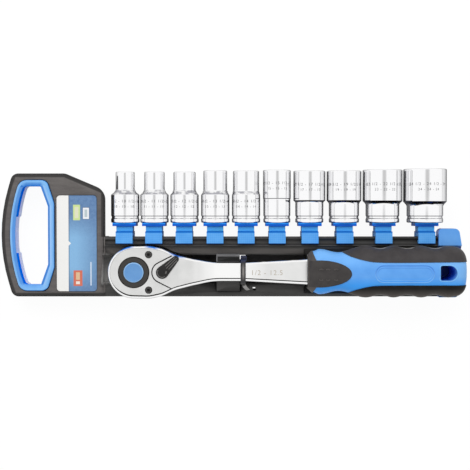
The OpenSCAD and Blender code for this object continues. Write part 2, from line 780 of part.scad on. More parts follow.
// Outline of the drive gear, its teeth grown by d
module gear_outline(d) {
    pitch = 360 / gear_teeth;
    tip = pitch * 0.13;
    root = pitch * 0.37;
    grow = d / gear_r * 57.3;
    polygon([for (i = [0:gear_teeth - 1]) each [
        let (a = i * pitch - root - grow) (gear_r - tooth_d + d) * [cos(a), sin(a)],
        let (a = i * pitch - tip - grow) (gear_r + d) * [cos(a), sin(a)],
        let (a = i * pitch + tip + grow) (gear_r + d) * [cos(a), sin(a)],
        let (a = i * pitch + root + grow) (gear_r - tooth_d + d) * [cos(a), sin(a)]]]);
}

hub_top_z = face_z + 0.3;
button_z0 = hub_top_z + button_proud - 3.8;
button_seat_z = button_z0 - button_travel - 0.3;
spring_seat_z = head_z + 11;
spring_room_r = 5.6;
anvil_tip_z = head_z - anvil_l;
ball_z = anvil_tip_z + 5.5;

module drive_gear() {
    color([0.3, 0.29, 0.28]) translate([head_x, axis_y, 0]) difference() {
        union() {
            slab(tooth_z0, tooth_z1) gear_outline(0);
            translate([0, 0, gear_z0]) cylinder(r = gear_r - tooth_d - 0.05, h = gear_z1 - gear_z0);
            translate([0, 0, head_z]) cylinder(r = journal_r, h = 5);
            translate([0, 0, gear_z1 - over]) cylinder(r = hub_r, h = hub_top_z - gear_z1 + over);
            intersection() {
                block([-drive / 2, -drive / 2, anvil_tip_z], [drive / 2, drive / 2, head_z + over]);
                translate([0, 0, anvil_tip_z]) cylinder(r1 = drive * 0.61, r2 = drive * 0.68, h = 2);
                translate([0, 0, anvil_tip_z]) cylinder(r = drive * 0.68, h = anvil_l + over);
            }
            intersection() {
                block([-drive / 2, -drive / 2, anvil_tip_z + 1.9], [drive / 2, drive / 2, head_z + over]);
                translate([0, 0, anvil_tip_z]) cylinder(r = drive * 0.68, h = anvil_l + over);
            }
        }
        translate([0, 0, button_seat_z]) cylinder(r = button_r + 0.15, h = far);
        translate([0, 0, spring_seat_z]) cylinder(r = spring_room_r, h = far);
        translate([0, 0, anvil_tip_z + 2]) cylinder(r = pin_r + 0.1, h = far);
        translate([0, 0, ball_z]) rotate([0, 90, 0]) cylinder(r = ball_r + run_gap, h = far);
    }
}

module release_button() {
    waist_r = 1.4;
    waist_z0 = ball_z + 0.3;
    waist_z1 = waist_z0 + 6;
    top_z = hub_top_z + button_proud;
    pin_z0 = anvil_tip_z + 2 + button_travel + 0.3;
    color([0.43, 0.62, 0.84]) translate([head_x, axis_y, 0]) rotate_extrude() polygon([
        [0, pin_z0], [pin_r, pin_z0], [pin_r, waist_z0 - 0.01], [waist_r, waist_z0],
        [waist_r, waist_z1], [pin_r, waist_z1 + 1], [pin_r, button_z0], [button_r, button_z0],
        [button_r, top_z - 0.6], [button_r - 0.6, top_z], [0, top_z]]);
}

module detent_ball() {
    color([0.8, 0.8, 0.82]) translate([head_x + drive / 2 + ball_proud - ball_r, axis_y, ball_z])
        sphere(r = ball_r);
}

// Coil of round wire along Z, from z0 to z1
module coil(r, wire, turns, z0, z1) {
    steps = 14;
    sides = 6;
    n = turns * steps;
    pts = [for (i = [0:n]) for (k = [0:sides - 1])
        let (
            a = 360 * i / steps,
            b = 360 * k / sides,
            q = r + wire / 2 * cos(b),
            z = z0 + wire / 2 + (z1 - z0 - wire) * i / n + wire / 2 * sin(b)
        )
        [q * cos(a), q * sin(a), z]];
    walls = [for (i = [0:n - 1]) for (k = [0:sides - 1])
        let (k1 = (k + 1) % sides)
        [i * sides + k, (i + 1) * sides + k, (i + 1) * sides + k1, i * sides + k1]];
    ends = [[for (k = [0:sides - 1]) k], [for (k = [sides - 1:-1:0]) n * sides + k]];
    polyhedron(pts, concat(walls, ends), convexity = 10);
}

module button_spring() {
    color([0.6, 0.6, 0.62]) translate([head_x, axis_y, 0])
        coil((spring_room_r + pin_r) / 2, 0.8, 6, spring_seat_z + 0.02, button_z0 - 0.02);
}

// Pawl: two arms with teeth round one bearing, swung so that its upper arm is in mesh
module pawl() {
    color([0.5, 0.5, 0.5]) translate([lever_x, axis_y, 0]) rotate(pawl_swing / 2) difference() {
        slab(pawl_z0, pawl_z1) union() {
            circle(r = pawl_hub_r);
            pawl_arm();
            mirror([0, 1]) pawl_arm();
        }
        translate([0, 0, pawl_z0 - over]) cylinder(r = lever_shaft_r + run_gap, h = far);
        translate([0, 0, pawl_mid_z]) cylinder(r = plunger_tip + 0.4, h = far);
    }
}

// Upper arm of the pawl about its bearing, as it stands half way through its swing
module pawl_arm() {
    rotate(-pawl_swing / 2) translate([-lever_at, 0]) difference() {
        intersection() {
            circle(r = pawl_arm_r);
            polygon([[0, 0], [far, 0], far * [cos(pawl_arm_angle), sin(pawl_arm_angle)]]);
        }
        gear_outline(0.12);
        circle(r = gear_r - tooth_d + 0.3);
        intersection() {
            circle(r = gear_r + 0.8);
            polygon([[0, 0], far * [cos(pawl_bare_from), -sin(pawl_bare_from)],
                far * [cos(pawl_bare_angle), sin(pawl_bare_angle)]]);
        }
    }
}

module reverse_lever() {
    arm_z = face_z + 0.1;
    tip_r = 2.5;
    color([0.18, 0.18, 0.18]) translate([lever_x, axis_y, 0]) rotate(lever_angle) difference() {
        union() {
            translate([0, 0, lever_foot_z]) cylinder(r = lever_shaft_r, h = arm_z - lever_foot_z + 0.5);
            translate([0, 0, arm_z]) cylinder(r = lever_boss_r, h = 2.9);
            slab(arm_z, arm_z + 2.6) polygon(rounded([
                [0, -lever_boss_r + 0.6, 0], [lever_l, -tip_r + 0.2, 2], [lever_l + tip_r, 0, 2],
                [lever_l, tip_r - 0.2, 2], [0, lever_boss_r - 0.6, 0]], 5));
        }
        translate([-lever_shaft_r - over, 0, plunger_z]) rotate([0, 90, 0])
            cylinder(r = plunger_r + run_gap, h = 2 * lever_shaft_r - 0.7 + over);
    }
}

// Plunger in the lever's shaft, pushed out against the pawl by its spring
module pawl_plunger() {
    color([0.7, 0.7, 0.7]) translate([lever_x, axis_y, plunger_z]) rotate(lever_angle) rotate([0, -90, 0])
        rotate_extrude() polygon([[0, 1.2], [plunger_r, 1.2], [plunger_r, plunger_tip - 0.6],
            [plunger_r - 0.5, plunger_tip], [0, plunger_tip]]);
}

module pawl_spring() {
    color([0.6, 0.6, 0.62]) translate([lever_x, axis_y, plunger_z]) rotate(lever_angle) rotate([0, -90, 0])
        coil(0.85, 0.4, 5, -lever_shaft_r + 0.75, 1.18);
}

// ---- Handle ----

// Part of the grip that is covered by the soft skin, on the side given
module skin_zone(side) {
    x0 = grip_x0 + 24;
    x1 = x0 + 30;
    y1 = side * far / 2;
    slab(-over, far) translate([0, axis_y]) polygon([
        [x0, y1], [x0, side * (grip_half - 5.5)], [x0 + 10, side * (stripe_half + 2.6)],
        [x1, side * stripe_half], [butt_x + over, side * stripe_half], [butt_x + over, y1]]);
}

// Outline of the thumb pad: a half oval with its straight side to the shank
module pad_outline(d) {
    x0 = grip_x0 + 2;
    n = 24;
    polygon(concat(
        [[x0 - d, axis_y - pad_half - d], [x0 - d, axis_y + pad_half + d]],
        [for (i = [n:-1:0]) let (a = -90 + 180 * i / n)
            [x0 + (pad_l + d) * cos(a), axis_y + (pad_half + d) * sin(a)]]));
}

pad_z = axis_z + grip_half_t - 1.8 - pad_t;
hang_x1 = butt_x - hang_back;
hang_x0 = hang_x1 - hang_l;

// Hanging hole: straight towards the shank, round towards the butt
module hang_outline() {
    r = hang_w / 2;
    translate([hang_x1 - r, axis_y]) circle(r = r);
    block_x = hang_x1 - r - hang_x0;
    translate([hang_x0, axis_y - r]) square([block_x, hang_w]);
}

module handle_core() {
    color([0.38, 0.62, 0.95]) difference() {
        union() {
            difference() {
                grip_form(0);
                skin_zone(1);
                skin_zone(-1);
            }
            grip_form(grip_skin);
            along_x(shank_x1 + 0.02, grip_x0 + over) oval(13.5, 11.5);
        }
        slab(pad_z, far) pad_outline(seat_gap);
        translate([shank_x1 - over, axis_y, axis_z]) rotate([0, 90, 0])
            cylinder(r = tang_r + run_gap, h = tang_l + over + 0.5);
        slab(-over, far) hang_outline();
    }
}

module grip_skin_side(side) {
    color([0.24, 0.23, 0.23]) difference() {
        intersection() {
            grip_form(0);
            skin_zone(side);
        }
        grip_form(grip_skin);
    }
}

module grip_upper() {
    grip_skin_side(1);
}

module grip_lower() {
    grip_skin_side(-1);
}

module thumb_pad() {
    color([0.24, 0.23, 0.23]) slab(pad_z, pad_z + pad_t) pad_outline(0);
}

// ---- Tie ----

module tie() {
    foot = shank_half + 2.2;
    head = shank_half + 0.8;
    z0 = shank_z0 - move_gap;
    z1 = shank_z1 + move_gap;
    inner = [[-foot, z0, 2], [foot, z0, 2], [head, z1, 1], [-head, z1, 1]];
    outer = [[-foot - tie_t, z0 - tie_t, 3], [foot + tie_t, z0 - tie_t, 3],
        [head + tie_t, z1 + tie_t, 2], [-head - tie_t, z1 + tie_t, 2]];
    color([0.12, 0.12, 0.12]) translate([0, axis_y, 0]) difference() {
        along_x(tie_x - tie_w / 2, tie_x + tie_w / 2) polygon(rounded(outer));
        along_x(tie_x - tie_w, tie_x + tie_w) polygon(rounded(inner));
    }
}

tray();
grip_ring();
label_card();
end_cap();
tie();
clip(0);  // clip_1
clip(1);  // clip_2
clip(2);  // clip_3
clip(3);  // clip_4
clip(4);  // clip_5
clip(5);  // clip_6
clip(6);  // clip_7
clip(7);  // clip_8
clip(8);  // clip_9
clip(9);  // clip_10
socket(0);  // socket_10
socket(1);  // socket_11
socket(2);  // socket_12
socket(3);  // socket_13
socket(4);  // socket_14
socket(5);  // socket_15
socket(6);  // socket_17
socket(7);  // socket_19
socket(8);  // socket_22
socket(9);  // socket_24
ratchet_body();
cover_plate();
cover_screws();
reverse_lever();
pawl();
pawl_plunger();
pawl_spring();
drive_gear();
release_button();
button_spring();
detent_ball();
handle_core();
grip_upper();
grip_lower();
thumb_pad();
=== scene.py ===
from math import acos, asin, atan2, copysign, cos, degrees, hypot, pi, radians, sin, sqrt, tan

import bmesh
import bpy
import numpy as np
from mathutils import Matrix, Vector


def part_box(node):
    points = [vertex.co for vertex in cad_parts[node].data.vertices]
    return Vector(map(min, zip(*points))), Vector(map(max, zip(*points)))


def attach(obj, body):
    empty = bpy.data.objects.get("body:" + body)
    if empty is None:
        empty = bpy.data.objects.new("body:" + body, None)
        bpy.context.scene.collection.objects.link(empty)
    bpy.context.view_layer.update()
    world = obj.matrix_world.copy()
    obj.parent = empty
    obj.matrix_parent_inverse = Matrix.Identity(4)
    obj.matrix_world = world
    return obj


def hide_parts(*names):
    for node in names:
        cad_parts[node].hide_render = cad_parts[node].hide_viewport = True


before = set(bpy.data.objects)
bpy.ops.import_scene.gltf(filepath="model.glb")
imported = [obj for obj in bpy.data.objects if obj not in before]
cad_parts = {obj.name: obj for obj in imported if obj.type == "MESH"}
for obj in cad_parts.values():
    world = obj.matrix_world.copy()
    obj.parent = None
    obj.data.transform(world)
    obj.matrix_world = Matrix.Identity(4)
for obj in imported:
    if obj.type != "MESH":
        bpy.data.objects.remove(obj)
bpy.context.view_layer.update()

# Every length below is in millimetres; meshes are scaled to metres as they are made.
MM = 0.001


# ---- Sizes that follow the part's source ----

PLATE_X0 = -178.8
PLATE_Y0 = -49.2
PLATE_Y1 = 46.1
PLATE_MID_Y = -1.55
BULGE_R = 128.0
SHOULDER_L = 30.9
SHOULDER_DROP = 13.1
RAIL_X0 = -98.5
RING_X0 = -172.0
AXIS_Y = -29.4
AXIS_Z = 30.0
HEAD_X = -74.6
HEAD_R = 19.8
HEAD_Z = 19.0
FACE_Z = 42.0
COVER_Z = 39.9
LEVER_U = 21.7
LEVER_X = HEAD_X + LEVER_U
NOTCH_R = 7.7
NOTCH_ANGLE = 27.0
EDGE = 1.7
SHANK_L = 131.9
HUB_R = 11.2
BUTTON_R = 7.7
BUTTON_TOP = 43.6
SCREW_AT = ((-63.35, AXIS_Y - 13.4), (-63.35, AXIS_Y + 13.4))
SCREW_R = 2.5
SHANK_R = 9.8
BUTT_X = 178.4
WAVE_X = 102.5
WAVE_L = 21.0

# ---- Sizes of what is only drawn here ----

# The stepped-back stretch of the grip ring's left side.
STEP_X = -155.0
STEP_Y = -1.5
STEP_HALF = 14.0

# Where the jaws beside the shank rise out of the tray, and the middles of the grip's top and hole.
JAW_Z = 26.5
TOP_Y = AXIS_Y - 1.2
HOLE_Y = AXIS_Y - 0.5

# A height over everything, for cutters.
ABOVE = 50.0

# White for sky and floor, the stretch of turning marks, and every look by its name.
WHITE = (1.0, 1.0, 1.0, 1.0)
TURNED = (1, 8, 1)
LOOKS = {}


def low(name):
    """Lowest corner of a CAD node, in millimetres."""
    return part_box(name)[0] / MM


def high(name):
    """Highest corner of a CAD node, in millimetres."""
    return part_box(name)[1] / MM


def blend(x, x0, x1, a, b):
    """a at x0 and b at x1, with a smooth turn between them."""
    t = min(1.0, max(0.0, (x - x0) / (x1 - x0)))
    return a + (b - a) * (1 - cos(pi * t)) / 2


def through(x, knots):
    """Smooth curve through knots (x, value)."""
    for (x0, a), (x1, b) in zip(knots, knots[1:]):
        if x <= x1:
            return blend(x, x0, x1, a, b)
    return knots[-1][1]


# ---- Outlines ----

def arc(centre, radius, start, end, steps):
    """Points of an arc in the plane, angles in degrees."""
    x, y = centre
    turns = np.radians(np.linspace(start, end, steps + 1))
    return [(x + radius * cos(a), y + radius * sin(a)) for a in turns]


def circle(steps):
    """Angles of a full turn in even steps."""
    return [2 * pi * k / steps for k in range(steps)]


def level(outline, z):
    """An outline's points at one height."""
    return [(x, y, z) for x, y in outline]


def corner(before, here, after, radius, steps):
    """Points that round the corner at here."""
    p, q, s = (np.array(v, float) for v in (before, here, after))
    a = (p - q) / np.linalg.norm(p - q)
    b = (s - q) / np.linalg.norm(s - q)
    half = acos(max(-1.0, min(1.0, float(a @ b)))) / 2
    middle = (a + b) / np.linalg.norm(a + b)
    centre = q + middle * radius / sin(half)
    reach = radius / tan(half)
    start = q + a * reach - centre
    end = q + b * reach - centre
    first = degrees(atan2(start[1], start[0]))
    turn = (degrees(atan2(end[1], end[0])) - first + 180) % 360 - 180
    return arc(centre, radius, first, first + turn, steps)


def rounded(corners, steps):
    """Outline through corners (x, y, radius), each corner with a radius rounded."""
    points = []
    for i, (x, y, radius) in enumerate(corners):
        before = corners[i - 1][:2]
        after = corners[(i + 1) % len(corners)][:2]
        points += corner(before, (x, y), after, radius, steps * 6 if radius > 60 else steps)
    return points


def bulging_side(x, y0, y1, radius, corner_r):
    """Left side that bulges about the plate's middle: its top, its middle and its foot."""
    bulge = radians(16.5)
    tip = x - radius * (1 / cos(bulge) - 1)
    lean = tan(bulge)
    return [
        (tip + (y1 - PLATE_MID_Y) * lean, y1, corner_r),
        (tip, PLATE_MID_Y, radius),
        (tip + (PLATE_MID_Y - y0) * lean, y0, corner_r),
    ]


def ring_outline(d):
    """Outline of the grip ring, drawn in by d."""
    x1, y0, y1 = -137.4 - d, -44.9 + d, 41.2 - d
    side = bulging_side(RING_X0 + d, y0, y1, BULGE_R - 6.8 - d, max(1.5, 8 - 1.3 * d))
    cut_x, cut_y = 5.6, 18 - d / 2
    near, far = max(1.0, 6 - 1.1 * d), max(2.0, 9 - 1.4 * d)
    right = [(x1 - cut_x, y0, near), (x1, y0 + cut_y, far)]
    right += [(x1, y1 - cut_y, far), (x1 - cut_x, y1, near)]
    return rounded(side + right, 10)


def ratchet_outline(d):
    """Upper half of the outline of head and shank about the head's centre, drawn in by d."""
    side = [(12, HEAD_R + 0.3, 25), (21.5, HEAD_R - 1.8, 20), (31, 13.4, 30), (44, 10.3, 50)]
    side += [(60, 7.2, 60), (84, 7.2, 90), (SHANK_L, SHANK_R, 0)]
    upper = arc((0, 0), HEAD_R - d, 180, 90, 40)
    corners = [(0.0, HEAD_R - d, 0)] + [(x, y - d, r) for x, y, r in side]
    for before, (x, y, radius), after in zip(corners, corners[1:], corners[2:]):
        upper += corner(before[:2], (x, y), after[:2], radius, 10)
    return upper + [(SHANK_L, SHANK_R - d)]


def cover_outline(rim_up, rim_down, notch):
    """Outline of the cover plate: its upper and lower rims drawn in, its notch widened."""
    slope = tan(radians(NOTCH_ANGLE))
    bow = arc((LEVER_U, 0), NOTCH_R + notch, 90 + NOTCH_ANGLE, 270 - NOTCH_ANGLE, 24)
    start_u, start_v = bow[0]

    def rim(d):
        """The rim from the nose to the notch's tangent line, in even steps."""
        run = np.array(ratchet_outline(d))
        over = run[:, 1] - start_v - (run[:, 0] - start_u) * slope
        last = max(i for i in range(len(run)) if run[i][0] < 0 or over[i] > 0)
        share = over[last] / (over[last] - over[last + 1])
        run = np.vstack([run[:last + 1], run[last] + (run[last + 1] - run[last]) * share])
        walked = np.concatenate([[0], np.cumsum(np.linalg.norm(np.diff(run, axis=0), axis=1))])
        steps = np.linspace(0, walked[-1], 72)
        return list(zip(np.interp(steps, walked, run[:, 0]), np.interp(steps, walked, run[:, 1])))

    upper = rim(rim_up)
    lower = []
    for k, (a, b) in enumerate(zip(upper, rim(rim_down))):
        share = blend(k, 6, 26, 0.0, 1.0)
        lower.append((a[0] + (b[0] - a[0]) * share, -(a[1] + (b[1] - a[1]) * share)))
    return [(HEAD_X + u, AXIS_Y + v) for u, v in upper + bow + lower[:0:-1]]


def smooth_path(points, steps):
    """Smooth curve through points of any dimension (Catmull-Rom)."""
    pts = [np.array(p, float) for p in points]
    pts = [2 * pts[0] - pts[1]] + pts + [2 * pts[-1] - pts[-2]]
    made = []
    for a, b, c, d in zip(pts, pts[1:], pts[2:], pts[3:]):
        for k in range(steps):
            t = k / steps
            made.append(0.5 * (2 * b + (c - a) * t + (2 * a - 5 * b + 4 * c - d) * t ** 2
                               + (3 * b - a - 3 * c + d) * t ** 3))
    made.append(pts[-2])
    return [tuple(p) for p in made]


# ---- Meshes ----

def make_mesh(name, bm, looks, sharp=32):
    """Object from a bmesh in millimetres, smooth where faces meet at less than sharp degrees."""
    bmesh.ops.remove_doubles(bm, verts=bm.verts, dist=1e-5)
    bmesh.ops.recalc_face_normals(bm, faces=bm.faces)
    mesh = bpy.data.meshes.new(name)
    bm.to_mesh(mesh)
    bm.free()
    for vertex in mesh.vertices:
        vertex.co *= MM
    mesh.shade_smooth()
    mesh.set_sharp_from_angle(angle=radians(sharp))
    for look in looks:
        mesh.materials.append(look.material)
    return put(name, mesh)


def put(name, data):
    """A new object in the scene."""
    made = bpy.data.objects.new(name, data)
    bpy.context.scene.collection.objects.link(made)
    return made


def add_loft(bm, rings, closed=True, caps=(True, True), slots=None, column_slots=None):
    """Faces between rings of points, with a material for each row (slots) or column of them."""
    rows = [[bm.verts.new(p) for p in ring] for ring in rings]
    count = len(rows[0])
    for k, (a, b) in enumerate(zip(rows, rows[1:])):
        for i in range(count if closed else count - 1):
            j = (i + 1) % count
            face = bm.faces.new((a[i], a[j], b[j], b[i]))
            face.material_index = slots[k] if slots else column_slots[i] if column_slots else 0
    if caps[0]:
        bm.faces.new(rows[0])
    if caps[1]:
        bm.faces.new(rows[-1]).material_index = slots[-1] if slots else 0


def loft(name, rings, looks, sharp=32, **options):
    """Object from rings of points, with add_loft's options."""
    bm = bmesh.new()
    add_loft(bm, rings, **options)
    return make_mesh(name, bm, looks, sharp)


def revolve_rings(profile, steps, place):
    """Rings of a turned shape from its profile of (radius, height), put in the frame by place."""
    return [[place(r * cos(a), r * sin(a), h) for a in circle(steps)] for r, h in profile]


def carve(piece, cutters, operation="DIFFERENCE"):
    """Cuts the cutters out of the piece, or joins them to it, and removes them."""
    for cutter in cutters:
        modifier = piece.modifiers.new("carve", "BOOLEAN")
        modifier.operation = operation
        modifier.solver = "EXACT"
        modifier.object = cutter
    bpy.context.view_layer.update()
    graph = bpy.context.evaluated_depsgraph_get()
    mesh = bpy.data.meshes.new_from_object(piece.evaluated_get(graph))
    piece.modifiers.clear()
    piece.data = mesh
    mesh.shade_smooth()
    mesh.set_sharp_from_angle(angle=radians(32))
    for cutter in cutters:
        bpy.data.objects.remove(cutter)
    return piece


def slab(outline, z0, z1, look, name="cutter"):
    """Solid between two heights."""
    return loft(name, [level(outline, z) for z in (z0, z1)], [look])


def turned(name, profile, place, looks, steps=64):
    """Turned piece from its profile of (radius, height)."""
    return loft(name, revolve_rings(profile, steps, place), looks)


def standing(x, y, z=0.0):
    """Places a turned shape upright at a point."""
    return lambda a, b, h: (x + a, y + b, z + h)


def bead(bm, path, width, height, surface, closed=True):
    """Raised half-round line along a path of (x, y) on a surface that gives z at x, y."""
    sunk, root = 0.02, 0.15
    ends = (path[-1], path[0]) if closed else (path[0], path[-1])
    rings = []
    for behind, (x, y), ahead in zip([ends[0]] + path, path, path[1:] + [ends[1]]):
        along = Vector((ahead[0] - behind[0], ahead[1] - behind[1])).normalized()
        ring = []
        for angle in np.radians([0, 35, 70, 110, 145, 180]):
            side = cos(angle) * width / 2
            px, py = x - along.y * side, y + along.x * side
            ring.append((px, py, surface(px, py) + height * sin(angle) - sunk))
        ring.append((x, y, surface(x, y) - root))
        rings.append(ring)
    if closed:
        rings.append(rings[0])
    add_loft(bm, rings, caps=(not closed, not closed))


def pill(bm, start, end, radius, height, surface):
    """Low raised bar with round ends on a surface."""
    a, b = Vector(start), Vector(end)
    along = (b - a).normalized()
    across = Vector((-along.y, along.x))
    rings = []
    for share in (1.0, 0.93, 0.75, 0.45, 0.0):
        ring = []
        for angle in circle(16):
            middle = b if cos(angle) > 0 else a
            p = middle + (along * cos(angle) + across * sin(angle)) * radius * max(share, 0.01)
            ring.append((p.x, p.y, surface(p.x, p.y) + height * sqrt(1 - share ** 2) - 0.01))
        rings.append(ring)
    add_loft(bm, rings, caps=(False, True))


def bevel(piece, width, angle):
    """Rounds a piece's edges sharper than angle degrees by width millimetres."""
    made = piece.modifiers.new("bevel", "BEVEL")
    made.width = width * MM
    made.segments = 2
    made.limit_method = "ANGLE"
    made.angle_limit = radians(angle)
    return made


def soften(piece, width):
    """Rounds a CAD node's sharp edges in the picture, its own mesh left as it is."""
    weld = piece.modifiers.new("weld", "WELD")
    weld.merge_threshold = 0.00001
    flat = piece.modifiers.new("flat", "DECIMATE")
    flat.decimate_type = "DISSOLVE"
    flat.angle_limit = radians(1.0)
    bevel(piece, width, 30).miter_outer = "MITER_ARC"
    keep_flats(piece)
    for polygon in piece.data.polygons:
        polygon.use_smooth = True


def keep_flats(piece):
    """Shades flat faces flat and keeps the sharp edges."""
    normals = piece.modifiers.new("normals", "WEIGHTED_NORMAL")
    normals.keep_sharp = True


def letters(words, size, spacing, align="LEFT"):
    """Flat mesh of plain letters, in millimetres."""
    curve = bpy.data.curves.new("letters", "FONT")
    curve.body = words
    curve.size = size
    curve.space_character = spacing
    curve.align_x = align
    made = put("letters", curve)
    bpy.context.view_layer.update()
    bm = bmesh.new()
    bm.from_mesh(made.to_mesh())
    bpy.data.objects.remove(made)
    bpy.data.curves.remove(curve)
    return bm


# ---- Shader values ----

def screen(tone):
    """A screen's colour, 0 to 255, as the shader wants it. A Value stays as it is."""
    if isinstance(tone, Value):
        return tone
    bright = [((c / 255 + 0.055) / 1.055) ** 2.4 for c in tone]
    return tuple(c / 255 / 12.92 if c < 10.3 else b for c, b in zip(tone, bright)) + (1.0,)


class Value:
    """A number or colour in a shader. Every sum or blend of it adds a node."""

    def __init__(self, nodes, socket):
        self.nodes = nodes
        self.socket = socket

    def math(self, operation, other=0.0):
        return self.nodes.add("Math", {0: self, 1: other}, operation=operation)

    def __add__(self, other):
        return self.math("ADD", other)

    def __sub__(self, other):
        return self.math("SUBTRACT", other)

    def __rsub__(self, other):
        return self.nodes.add("Math", {0: other, 1: self}, operation="SUBTRACT")

    def __mul__(self, other):
        return self.math("MULTIPLY", other)

    def larger(self, other):
        """This value or the other, whichever is larger."""
        return self.math("MAXIMUM", other)

    def ramp(self, low_at, high_at, low_to=0.0, high_to=1.0):
        """This value carried from one range to another, and held to it."""
        inputs = {0: self, 1: low_at, 2: high_at, 3: low_to, 4: high_to}
        return self.nodes.add("MapRange", inputs, clamp=True)

    def band(self, start, end, soft=0.15):
        """1 between start and end, 0 outside, with soft edges."""
        return self.ramp(start - soft, start + soft) * self.ramp(end - soft, end + soft, 1.0, 0.0)

    def mix(self, a, b):
        """Colour a where this value is 0, colour b where it is 1."""
        return self.nodes.add("Mix", {0: self, 6: screen(a), 7: screen(b)}, 2, data_type="RGBA")

    def cloud(self, a, b):
        """Soft clouds of colours a and b, where this value is a noise."""
        return self.ramp(0.35, 0.65).mix(a, b)


def length(a, b):
    """Length of the plane vector a, b."""
    return (a * a + b * b).math("SQRT")


def box(x, y, x0, y0, x1, y1, soft=0.12):
    """1 inside a rectangle of the XY plane."""
    return x.band(x0, x1, soft) * y.band(y0, y1, soft)


class Nodes:
    """A node tree that takes plain numbers and Values alike."""

    def __init__(self, tree):
        self.tree = tree

    def feed(self, node, key, value):
        if isinstance(value, Value):
            self.tree.links.new(value.socket, node.inputs[key])
        else:
            node.inputs[key].default_value = value

    def add(self, kind, inputs=None, output=0, **settings):
        """Value of a new node with these inputs and settings."""
        made = self.tree.nodes.new(f"ShaderNode{kind}")
        for key, value in settings.items():
            setattr(made, key, value)
        for key, value in (inputs or {}).items():
            self.feed(made, key, value)
        return Value(self, made.outputs[output])

    def split(self, vector):
        """The x, y and z of a vector."""
        node = self.add("SeparateXYZ", {0: vector}).socket.node
        return [Value(self, socket) for socket in node.outputs]

    def rays(self, kind):
        """1 for rays of a kind, 0 for others."""
        return self.add("LightPath", output=f"Is {kind} Ray")

    def seen_rays(self):
        """1 for rays from the camera or off a mirror, 0 for light that falls on things."""
        mirrored = self.rays("Glossy").larger(self.rays("Transmission"))
        return self.rays("Camera").larger(mirrored)


class Look(Nodes):
    """A material and what feeds its shader. edge is the tint of its mirror at a low angle."""

    def __init__(self, name, colour, roughness, metallic=0.0, specular=0.5, coat=0.0, edge=1.0):
        LOOKS[name] = self
        self.material = bpy.data.materials.new(name)
        self.material.use_nodes = True
        super().__init__(self.material.node_tree)
        self.shader = self.tree.nodes["Principled BSDF"]
        self.place = self.add("TexCoord", output="Object")
        self.set("Base Color", screen(colour))
        self.set("Roughness", roughness)
        self.set("Metallic", metallic)
        self.set("Specular IOR Level", specular)
        self.set("Coat Weight", coat)
        self.set("Specular Tint", (edge, edge, edge, 1.0))

    def set(self, name, value):
        self.feed(self.shader, name, value)

    def axes(self):
        """The place on the object as x, y and z, in millimetres."""
        return self.split(self.add("VectorMath", {0: self.place, "Scale": 1 / MM}, operation="SCALE"))

    def facing(self):
        """The way the surface faces, as x, y and z."""
        return self.split(self.add("NewGeometry", output="Normal"))

    def noise(self, size, detail=2, stretch=(1, 1, 1)):
        """Noise with features of size millimetres, 0 to 1."""
        mapped = self.add("Mapping", {"Vector": self.place, "Scale": stretch})
        inputs = {"Vector": mapped, "Scale": 1 / (size * MM), "Detail": detail, "Roughness": 0.5}
        return self.add("TexNoise", inputs)

    def paint(self, tone):
        self.set("Base Color", tone)

    def gloss(self, noise, smooth, rough, low_at=0.3, high_at=0.7):
        """Roughness that follows a noise."""
        self.set("Roughness", noise.ramp(low_at, high_at, smooth, rough))

    def bump(self, height, depth, round_edges=0.0):
        """Bump of depth millimetres, over edges rounded by the shader."""
        inputs = {"Height": height, "Distance": depth * MM, "Strength": 1.0}
        if round_edges:
            inputs["Normal"] = self.add("Bevel", {"Radius": round_edges * MM}, samples=6)
        self.set("Normal", self.add("Bump", inputs))

    def grain(self, size, smooth, rough, depth, round_edges=0.0):
        """A fine grain in the gloss and on the surface."""
        fine = self.noise(size)
        self.gloss(fine, smooth, rough)
        self.bump(fine, depth, round_edges)
        return self


# ---- Materials ----

def grained(name, colour, lighter, roughness, coat=0.0, specular=0.5):
    """Moulded plastic: a fine grain, faint flow marks and an uneven gloss."""
    look = Look(name, colour, roughness, specular=specular, coat=coat)
    look.tone = look.noise(9, 4).cloud(colour, lighter)
    look.paint(look.tone)
    look.grain(0.35, roughness - 0.06, roughness + 0.06, 0.02)
    return look


